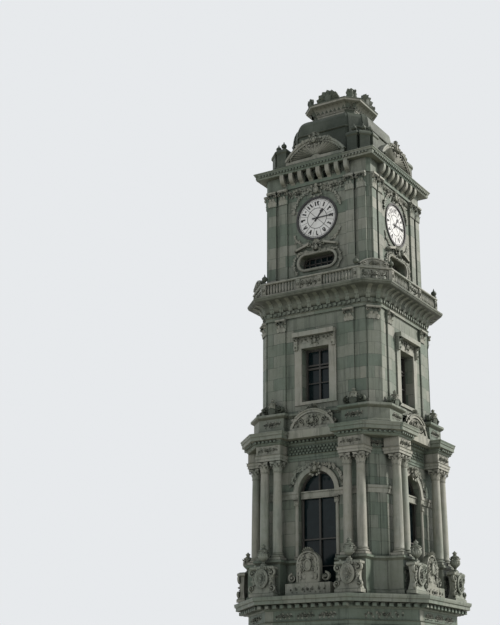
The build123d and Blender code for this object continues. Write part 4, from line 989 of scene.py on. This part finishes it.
def makeRows():
    r = rowLook
    rise = secondFloor - firstFriezeTop
    dentilLevel = firstFriezeTop + 0.26 * rise
    main, small = ((w, 0.15 * rise, depth, pitch) for w, depth, pitch in (r["dentil"], r["blockDentil"]))
    groundLevel, secondLevel = lowOf("ground_cornice") + 0.125, secondWallTop + 0.24
    side = [blockRow(main, -1.16, 1.16, dentilLevel, firstFace + 0.128)]
    for low, high in ((-2.25, -1.26), (1.26, 2.25)):
        side.append(blockRow(small, low, high, dentilLevel, 3.258))
    for row in range(3):
        reach = 1.14 - (r["square"][3] / 2 if row % 2 else 0)
        level = firstWallTop + 0.265 + row * 0.105
        side.append(blockRow(r["square"], -reach, reach, level, firstFace + 0.018))
    side += [
        blockRow(r["ground"], -1.85, 1.85, groundLevel, groundFace + 0.188),
        blockRow(r["attic"], -1.15, 1.15, secondFloor + 0.60, 2.603),
        blockRow(r["clock"], -2.46, 2.46, lowOf("clock_cornice") + 0.105, 2.618),
        blockRow(r["second"], -2.0, 2.0, secondLevel, secondFace + 0.040),
    ]
    corner = [
        blockRow(small, -0.55, 0.55, dentilLevel, cutOut(3.26, 2.25 + 0.07 * cutSlope) - 0.002),
        blockRow(r["ground"], -1.2, 1.2, groundLevel, groundCut + 0.188),
        blockRow(r["second"], -0.3, 0.3, secondLevel, secondCut + 0.040),
    ]
    rows = joinShapes([everySide(joinShapes(side)), everyCorner(joinShapes(corner))])
    addPiece("blockRows", rows, mouldStone)


makeRows()


# carved reliefs on blocks, panels and friezes; x, level and out are places on a side
reliefLook = {
    "depth": 0.055, "blockX": 1.71, "blockLevel": 0.395, "blockOut": 3.162, "pedestalOut": 3.155,
    "atticOut": 2.864, "panelOut": 2.844, "panelDepth": 0.085, "panelRadius": 0.9956,
    "hoodLevel": 15.90, "hoodX": 0.794, "groundLevel": 5.655, "keyLevel": 4.86,
}


# segmental panel of the attic on its pale base slab, with a moulded rim and a shell over it
def atticPanel(pile):
    r = reliefLook
    out = r["panelOut"]
    pile.put(scrollwork(1.50, 0.42, r["panelDepth"], 35, 14), 0, secondFloor + 0.33, out)
    pile.put(cartouche(0.34, 0.42, 0.10), 0, secondFloor + 0.36, out + 0.03)
    pile.put(slab(1.98, 0.30, 0.30, 0.012), 0, secondFloor - 0.135, 2.678)
    rim = arcPoints(r["panelRadius"], 47.5, 132.5, 25, 0, secondFloor + 0.76 - r["panelRadius"])
    section = [(-0.025, 0), (-0.025, 0.03), (0.015, 0.05), (0.045, 0.02), (0.045, 0)]
    pile.put(band(rim[::-1], section), 0, 0, 2.89)
    pile.put(shell(0.24, 9, 0.10, 8, 172), 0, secondFloor + 0.74, 2.80)
    pile.scrolls(0.86, secondFloor + 0.28, 2.72, 0.13, 0.05, 1.5, 0.16, 90, 22, 1, 90)
    fall = [(0.20, 0.79), (0.45, 0.70), (0.70, 0.53), (0.80, 0.42)]
    pile.garlands(fall, secondFloor, 2.80, 0.05, 40, 0.10, 0.07)


# foliage under the hood of the second storey window, and its scroll consoles
def windowHood(pile):
    level, x = reliefLook["hoodLevel"], reliefLook["hoodX"]
    pile.put(scrollwork(1.24, 0.20, 0.05, 41, 12), 0, level, secondFace + 0.043)
    pile.put(cartouche(0.26, 0.36, 0.09), 0, level - 0.06, secondFace + 0.055)
    pile.scrolls(x, level + 0.03, secondFace + 0.10, 0.085, 0.035, 1.4, 0.16, 90, 20, 1)
    pile.scrolls(x, level - 0.28, secondFace + 0.08, 0.060, 0.026, 1.3, 0.13, 270, 18, -1)
    pile.twice(leaf(0.13, 0.26, 0.07, 4), x, level - 0.35, secondFace + 0.148)


def makeReliefs():
    r = reliefLook
    d, x, level = r["depth"], r["blockX"], firstWallTop + r["blockLevel"]
    pile = Pile()
    pile.twice(scrollwork(0.84, 0.27, d, 31), x, level, r["blockOut"])
    pile.twice(scrollwork(0.72, 0.26, d, 33), x, secondFloor + 0.37, r["atticOut"])
    pile.twice(cartouche(0.62, 0.62, 0.05), x, firstFloor + 0.70, r["pedestalOut"])
    atticPanel(pile)
    windowHood(pile)
    for x in (-0.86, 0, 0.86):
        pile.put(scrollwork(0.70, 0.26, 0.05, 70, 8), x, r["groundLevel"], groundFace + 0.064)
    pile.put(cartouche(0.5, 0.62, 0.10), 0, r["keyLevel"], groundFace + 0.02)
    corner = Pile()
    corner.put(scrollwork(0.62, 0.26, d, 81), 0, level, firstCut + 0.018)
    corner.put(scrollwork(1.5, 0.26, d, 82, 12), 0, r["groundLevel"], groundCut + 0.064)
    reliefs = joinShapes([everySide(pile.whole()), everyCorner(corner.whole())])
    addPiece("carvedReliefs", reliefs, carvedStone)


makeReliefs()


# clock frieze between the consoles, foliage over the dial and garlands round it
clockLook = {"consolePitch": 0.41, "friezeRise": 0.30, "friezeOut": 2.331, "overX": 0.80, "overDrop": 0.25}


def makeClockReliefs():
    c = clockLook
    pile = Pile()
    for k in (0, 1, 5, 6):
        one = scrollwork(0.22, 0.22, 0.04, 50 + k, 4, 0.45)
        pile.put(one, (k - 3) * c["consolePitch"], clockWallTop + c["friezeRise"], c["friezeOut"])
    over = scrollwork(1.10, 0.42, 0.07, 55, 14)
    pile.twice(over, c["overX"], clockWallTop - c["overDrop"], clockFace)
    pile.put(cartouche(0.46, 0.50, 0.12), 0, clockWallTop - 0.28, clockFace + 0.02)
    drop = [(0.24, -0.22), (0.52, -0.30), (0.80, -0.52), (0.98, -0.82), (1.04, -1.12)]
    pile.garlands(drop, clockWallTop, clockFace + 0.005, 0.055, 60, 0.11, 0.075)
    foot = [(1.02, -0.55), (0.92, -0.80), (0.70, -0.98), (0.42, -1.08)]
    pile.garlands(foot, dialMiddle, clockFace + 0.005, 0.045, 64, 0.10, 0.06, 0.9)
    addPiece("clockReliefs", everySide(pile.whole()), carvedStone)


makeClockReliefs()


# curved brackets in the cove under the balcony
bracketLook = {"width": 0.17, "count": 10, "pitch": 0.41, "cornerX": 0.2}


def makeBrackets():
    b = bracketLook
    low = secondFriezeTop
    curve = [(0.085, -0.02), (0.12, 0.04), (0.135, 0.13), (0.165, 0.22), (0.235, 0.30), (0.34, 0.345),
             (0.44, 0.37), (0.50, 0.40)]
    line = [(0.02, -0.02)] + curve + [(0.50, 0.415), (0.02, 0.415)]
    ribLine = [(out + 0.012, z) for out, z in curve] + [(0.3, 0.41), (0.05, 0.1)]
    one = moved(joinShapes([
        sideShape(line, b["width"]),
        sideShape(ribLine, b["width"] * 0.35),
        moved(leaf(b["width"] * 0.9, 0.16, 0.05, 3), z=0.10),
    ]), y=low)
    shapes = []
    for k in range(b["count"]):
        shapes.append(everySide(one, x=(k - (b["count"] - 1) / 2) * b["pitch"], out=secondFace))
    for hand in hands:
        shapes.append(everyCorner(one, x=hand * b["cornerX"], out=secondCut))
    addPiece("coveBrackets", joinShapes(shapes), mouldStone)


makeBrackets()


# balustrade dressing: scrolls on the panels, mouldings on the rails, a crest on the cut corners
balconyLook = {"face": 3.04, "edge": 2.08, "rise": 0.56, "panels": (0.47, 1.985), "crestRadius": 0.857}


def makeBalconyDressing():
    b = balconyLook
    floor, top = balconyFloor, balconyFloor + b["rise"]
    middle = floor + b["rise"] / 2
    f, e = b["face"], b["edge"]
    rail = [(0.0, -0.075), (0.022, -0.06), (0.03, -0.03), (0.018, 0.0), (-0.01, 0.012), (-0.16, 0.012),
            (-0.19, 0.0), (-0.19, -0.05), (-0.17, -0.075)]
    base = [(0.0, 0.01), (0.012, 0.012), (0.012, 0.05), (0.0, 0.078), (-0.02, 0.07), (-0.02, 0.01)]
    side = Pile()
    side.put(scrollwork(0.70, 0.34, 0.05, 91, 8), 0, middle, f - 0.042)
    frameLine = [(-0.075, -0.15), (0.075, -0.15), (0.075, 0.15), (-0.075, 0.15)]
    frameSection = [(-0.008, 0), (-0.006, 0.015), (0.006, 0.015), (0.008, 0)]
    for x in b["panels"]:
        side.twice(rosette(0.075, 0.035, 8), x, middle, f - 0.002)
        side.twice(band(frameLine, frameSection, True), x, middle, f - 0.001)
    rise = arcPoints(b["crestRadius"], 48, 132, 17, 0, top + 0.33 - b["crestRadius"])
    crestSection = [(-0.03, -0.17), (-0.03, 0.0), (-0.02, 0.03), (0.02, 0.03), (0.03, 0.0), (0.03, -0.17)]
    crest = Pile()
    crest.put(scrollwork(1.0, 0.36, 0.05, 92, 10), 0, middle, -0.042)
    crest.put(shell(0.20, 9, 0.07, 5, 175), 0, top + 0.06)
    crest.put(band(rise[::-1], crestSection))
    crest.scrolls(0.40, top + 0.14, -0.002, 0.10, 0.04, 1.4, 0.06, 90, 20, 1, 90)
    shapes = [
        moved(storeyRing(f, e, rail), z=top),
        moved(storeyRing(f, e, base), z=floor),
        everySide(side.whole()),
        everyCorner(crest.whole(), out=cutOut(f, e)),
    ]
    addPiece("balconyDressing", joinShapes(shapes), roseStone)


makeBalconyDressing()


# bow and open scroll pediment over the long windows
ovalLook = {"level": 19.14, "half": 0.835, "round": 0.335}


def makeOvalDressing():
    level, half, h = (ovalLook[k] for k in ("level", "half", "round"))
    pile = Pile()
    pile.scrolls(0.29, level + 0.68, clockFace + 0.06, 0.13, 0.055, 1.5, 0.13, 90, 24, -1)
    pile.scrolls(0.90, level + 0.52, clockFace + 0.06, 0.085, 0.04, 1.3, 0.12, 270, 18, 1)
    bow = [(0.10, 0.42), (0.36, 0.37), (0.62, 0.40), (0.86, 0.36)]
    pile.garlands(bow, level, clockFace + 0.055, 0.045, 100, 0.09, 0.06)
    ends = [(0.93, 0.30), (1.02, 0.05), (1.00, -0.22), (0.88, -0.42)]
    pile.garlands(ends, level, clockFace + 0.055, 0.035, 104, 0.08, 0.05)
    pile.put(cartouche(0.30, 0.40, 0.12), 0, level + 0.55, clockFace + 0.07)
    pile.put(leaf(0.26, 0.24, 0.12, 4), 0, level + 0.66, clockFace + 0.07)
    ring = np.vstack((arcPoints(h, -90, 90, 18, half - h, level), arcPoints(h, 90, 270, 18, h - half, level)))
    section = [(0.05, 0), (0.035, 0.022), (-0.01, 0.03), (-0.045, 0.012), (-0.05, 0)]
    pile.put(band(ring, section, True), 0, 0, clockFace + 0.068)
    addPiece("longWindowDressing", everySide(pile.whole()), carvedStone)


makeOvalDressing()

# shell fluting in the lunettes, with rims and cartouches at their crowns
lunetteLook = {"half": 1.31, "foot": 0.15, "rise": 0.74, "out": 2.438}


def makeLunettes():
    half, foot, rise, out = (lunetteLook[k] for k in ("half", "foot", "rise", "out"))
    radius = (half * half + rise * rise) / (2 * rise)
    angle = math.degrees(math.asin(half / radius))
    middle = roofDeck + foot + rise - radius
    pile = Pile()
    pile.put(scaled(shell(1.0, 17, 0.10, 2, 178, 0.18, 8), 1.13, 0.60, 1), 0, roofDeck + 0.16, 2.350)
    arc = arcPoints(radius, 90 - angle, 90 + angle, 29, 0, middle)
    section = [(-0.05, -0.27), (-0.05, 0.0), (-0.035, 0.035), (0.01, 0.05), (0.05, 0.03), (0.06, 0.0),
               (0.06, -0.27)]
    pile.put(band(arc[::-1], section), 0, 0, out)
    inner = arcPoints(radius - 0.13, 90 - angle * 0.93, 90 + angle * 0.93, 27, 0, middle)
    for x, y in inner[1:-1]:
        pile.put(bead(0.028, 0.8, 7), x, y, 2.44)
    pile.put(cartouche(0.46, 0.50, 0.14), 0, roofDeck + 0.86, 2.42)
    pile.put(shell(0.16, 9, 0.09, 10, 170), 0, roofDeck + 1.02, 2.40)
    pile.scrolls(1.14, roofDeck + 0.20, 2.30, 0.15, 0.06, 1.5, 0.20, 90, 24, -1)
    pile.garlands([(0.22, 0.90), (0.50, 0.84), (0.78, 0.72)], roofDeck, 2.46, 0.05, 122, 0.10, 0.06)
    addPiece("lunetteShells", everySide(pile.whole()), carvedStone)


makeLunettes()

# ribs with scrolls on the cut corners of the dome, and raised bands across it
domeLook = {"half": 1.75, "edge": 1.05, "ribX": 0.30, "ribWidth": 0.13, "ribThick": 0.12, "ribProud": 0.045}
domeLine = [  # out and height of the dome's side, over the deck
    (1.98, 0.12), (1.98, 0.18), (1.90, 0.45), (1.83, 0.70), (1.79, 1.10), (1.76, 1.50), (1.735, 1.72),
    (1.69, 1.93), (1.64, 2.05), (1.56, 2.16), (1.46, 2.235), (1.34, 2.295), (1.18, 2.355), (1.04, 2.395),
]


def makeRoofDressing():
    d = domeLook
    shift = cutOut(d["half"], d["edge"]) - d["half"] + d["ribProud"]
    rib = [(out + shift, roofDeck + z) for out, z in domeLine]
    back = [(out - d["ribThick"], z - 0.01) for out, z in reversed(rib)]
    corner = Pile()
    corner.twice(sideShape(rib + back, d["ribWidth"]), d["ribX"], 0, 0)
    corner.scrolls(d["ribX"], roofDeck + 0.36, rib[1][0] - 0.05, 0.17, 0.07, 1.5, 0.12, 90, 24, -1)
    section = [(-0.05, -0.04), (0.02, -0.04), (0.045, -0.015), (0.045, 0.015), (0.02, 0.04), (-0.05, 0.05)]
    shapes = [everyCorner(corner.whole())]
    for z, face, edge in ((roofDeck + 0.16, 1.98, 1.145), (roofShoulder, 1.76, 1.055)):
        shapes.append(moved(storeyRing(face, edge, section), z=z))
    addPiece("domeRibs", joinShapes(shapes), roofStone)


makeRoofDressing()

# crown: leaves at the corners, fluted fans on the sides, lobes under the lip
crownLook = {"face": 0.96, "lip": 0.31, "fan": 0.50, "fanOut": 1.16, "lobeDrop": 0.37, "neckHeight": 0.66}


def makeCrown():
    c = crownLook
    face, edge = c["face"], edges["crown"]
    cut = cutOut(face, edge)
    foot = crownLip - 0.005
    fan = Pile()
    for depth, rows, way in ((0.13, 8, 1), (0.04, 6, -1)):
        one = scaled(shell(c["fan"], 7, depth, 4, 176, 0.2, rows), 1, 0.95, way)
        fan.put(one, 0, crownLip + 0.01, c["fanOut"])
    fan.put(leaf(0.22, 0.42, 0.06, 4), 0, crownLip, 1.235)
    tuft = Pile()
    outline = [(0.13, 0.0), (0.15, 0.14), (0.22, 0.28), (0.17, 0.40), (0.08, 0.43)]
    mirrored = [(-x, y) for x, y in reversed(outline)]
    tuft.put(plate(outline + [(0.0, 0.48)] + mirrored, 0.13, 0.035), 0, foot, cut + 0.12)
    for x, size, lean, out in ((0, 0.44, 0, 0.255), (-0.10, 0.36, 12, 0.235), (0.10, 0.36, -12, 0.235)):
        tuft.put(rotated(leaf(size * 0.42, size, 0.05, 3, 4, 9), lean), x, foot, cut + out)
    tuft.scrolls(0.135, crownLip + 0.33, cut + 0.235, 0.085, 0.034, 1.4, 0.06, 90, 18, -1)
    lobe = leaf(0.20, 0.24, 0.16, 2, 4, 7)
    for k in range(9):
        fan.put(lobe, (k - 4) * 0.19, crownLip - c["lobeDrop"], 0.98)
    for k in range(3):
        tuft.put(lobe, (k - 1) * 0.17, crownLip - c["lobeDrop"], cut + 0.02)
    lip = [(-0.02, -0.05), (0.03, -0.045), (0.04, -0.02), (0.02, 0.01), (-0.06, 0.012)]
    lipRing = storeyRing(face + c["lip"], edge + c["lip"] * cutSlope, lip)
    shapes = [everySide(fan.whole()), everyCorner(tuft.whole()), moved(lipRing, z=crownLip)]
    addPiece("crownLeaves", joinShapes(shapes), roofStone, ("crown_crests",))
    low, top = crownLip - c["neckHeight"], lowOf("crown")
    line = [(0.0, low), (0.006, low), (0.006, top - 0.05), (0.03, top - 0.03), (0.03, top - 0.002),
            (-0.02, top - 0.002), (-0.02, low)]
    addPiece("neckBand", storeyRing(0.962, 0.622, line), roseStone)


makeCrown()

# medallions with rings, rosettes, scrolls and foliage; carved stones before the arches
medallionLook = {"x": 1.72, "out": 3.60, "level": 0.64, "ring": (0.2408, 0.319)}
tabletLook = {"face": 3.27, "foot": 0.43, "half": 0.43, "spring": 0.66, "stepOut": 3.328}
ridge = [(0.035, 0), (0.03, 0.04), (0.0, 0.06), (-0.03, 0.045), (-0.035, 0)]


def medallion():
    m = medallionLook
    out, low = m["out"], firstFloor
    pile = Pile()
    ring = [(m["ring"][0] * math.cos(a), m["ring"][1] * math.sin(a))
            for a in np.linspace(0, 2 * math.pi, 41)[:-1]]
    pile.put(band(ring, ridge, True), 0, low + m["level"], out)
    pile.put(scaled(rosette(0.20, 0.06, 10), 0.9, 1.25, 1), 0, low + m["level"], out + 0.038)
    pile.scrolls(0.38, low + 0.84, out - 0.10, 0.19, 0.075, 1.5, 0.13, 90, 26, -1)
    pile.scrolls(0.42, low + 0.30, out - 0.08, 0.15, 0.06, 1.5, 0.13, 270, 24, 1)
    pile.garlands([(0.30, 0.42), (0.37, 0.58), (0.33, 0.74)], low, out - 0.06, 0.05, 130, 0.10, 0.07)
    swag = [(-0.34, low + 1.02), (0, low + 0.99), (0.34, low + 1.02)]
    pile.put(garland(swag, 0.065, 133, 0.12, 0.09, 1.2), 0, 0, out - 0.04)
    pile.put(leaf(0.26, 0.30, 0.10, 4), 0, low + 0.14, out - 0.05)
    return pile.whole()


# round-headed stone with foliage, and scrolls at both sides of it
def makeMedallions():
    t = tabletLook
    face, top, half = t["face"], firstFloor + t["foot"], t["half"]
    pile = Pile()
    pile.twice(medallion(), medallionLook["x"], 0, 0)
    pile.put(cartouche(0.62, 0.74, 0.12), 0, top + 0.62, face - 0.01)
    pile.put(shell(0.24, 9, 0.09, 5, 175), 0, top + 1.0, face - 0.02)
    arc = arcPoints(half, 180, 0, 21, 0, top + t["spring"])
    head = np.vstack(([(-half, top + 0.03)], arc, [(half, top + 0.03)]))
    section = [(-0.035, 0), (-0.03, 0.03), (0.0, 0.045), (0.03, 0.03), (0.035, 0)]
    pile.put(band(head, section), 0, 0, face)
    climb = [(0.30, 0.12), (0.34, 0.45), (0.30, 0.78), (0.14, 0.98)]
    pile.garlands(climb, top, face, 0.05, 142, 0.11, 0.07)
    pile.scrolls(0.66, top + 0.20, face - 0.13, 0.20, 0.08, 1.5, 0.16, 90, 26, -1)
    pile.put(scrollwork(1.5, 0.26, 0.04, 145, 12), 0, firstFloor + 0.22, t["stepOut"])
    addPiece("medallionCarving", everySide(pile.whole()), carvedStone)


makeMedallions()

# slim bars in the windows: each bar is (x or height, from, to, width)
barLook = {
    "depth": 0.03,
    "arch": {"out": firstFace - 0.222,
             "up": ((-0.68, 6.68, 9.86, 0.05), (0.68, 6.68, 9.86, 0.05), (0, 10.18, 10.84, 0.03)),
             "across": ((7.45, -0.70, 0.70, 0.034), (8.42, -0.70, 0.70, 0.05))},
    "second": {"out": secondFace - 0.322, "up": (),
               "across": ((14.26, -0.53, 0.53, 0.034), (14.96, -0.53, 0.53, 0.06))},
    "long": {"out": clockFace - 0.34, "up": [(x, 18.92, 19.36, 0.034) for x in (-0.52, -0.26, 0, 0.26, 0.52)],
             "across": ((19.14, -0.72, 0.72, 0.034),)},
}


def makeBars():
    pile = Pile()
    for window in ("arch", "second", "long"):
        bars = barLook[window]
        for x, low, high, width in bars["up"]:
            pile.put(slab(width, high - low, barLook["depth"], 0.008), x, (low + high) / 2, bars["out"])
        for y, left, right, width in bars["across"]:
            pile.put(slab(right - left, width, barLook["depth"], 0.008), (left + right) / 2, y, bars["out"])
    addPiece("windowBars", everySide(pile.whole()), darkWood)


makeBars()

# pale floor, soft light and a pale background
stageLook = {
    "floor": (0.62, 0.62, 0.60), "floorHalf": 150, "sky": (0.80, 0.82, 0.84), "skyStrength": 0.56,
    "key": (1.0, 0.945, 0.885), "keyStrength": 4.2, "keyAngle": 7, "keyWay": (-0.64, -0.52, -0.56),
}


def makeFloor():
    mesh = bpy.data.meshes.new("floorPlane")
    size = stageLook["floorHalf"]
    square = [(-size, -size, 0), (size, -size, 0), (size, size, 0), (-size, size, 0)]
    mesh.from_pydata(square, [], [(0, 1, 2, 3)])
    material = bpy.data.materials.new("paleFloor")
    material.use_nodes = True
    shader = material.node_tree.nodes["Principled BSDF"]
    shader.inputs["Base Color"].default_value = (*stageLook["floor"], 1)
    shader.inputs["Roughness"].default_value = 0.9
    mesh.materials.append(material)
    floor = bpy.data.objects.new("floorPlane", mesh)
    bpy.context.scene.collection.objects.link(floor)


def makeSky():
    world = bpy.data.worlds.new("paleSky")
    bpy.context.scene.world = world
    world.use_nodes = True
    tree = world.node_tree
    light = tree.nodes["Background"]
    feed(tree, light.inputs["Color"], stageLook["sky"])
    light.inputs["Strength"].default_value = stageLook["skyStrength"]
    seen = addNode(tree, "ShaderNodeBackground", Color=stageLook["sky"], Strength=1.0)
    rays = tree.nodes.new("ShaderNodeLightPath")
    either = rays.outputs["Is Camera Ray"]
    for name in ("Is Transmission Ray", "Is Glossy Ray"):
        either = mathNode(tree, "MAXIMUM", either, rays.outputs[name])
    mix = tree.nodes.new("ShaderNodeMixShader")
    for socket, value in zip(mix.inputs, (either, light.outputs[0], seen.outputs[0])):
        tree.links.new(value, socket)
    tree.links.new(mix.outputs[0], tree.nodes["World Output"].inputs["Surface"])


def makeKeyLight():
    lamp = bpy.data.lights.new("keyLight", "SUN")
    lamp.energy = stageLook["keyStrength"]
    lamp.angle = math.radians(stageLook["keyAngle"])
    lamp.color = stageLook["key"]
    key = bpy.data.objects.new("keyLight", lamp)
    key.rotation_euler = Vector(stageLook["keyWay"]).to_track_quat("-Z", "Y").to_euler()
    bpy.context.scene.collection.objects.link(key)


makeFloor()
makeSky()
makeKeyLight()
bpy.context.scene.view_settings.view_transform = "Standard"
print("stage ready")
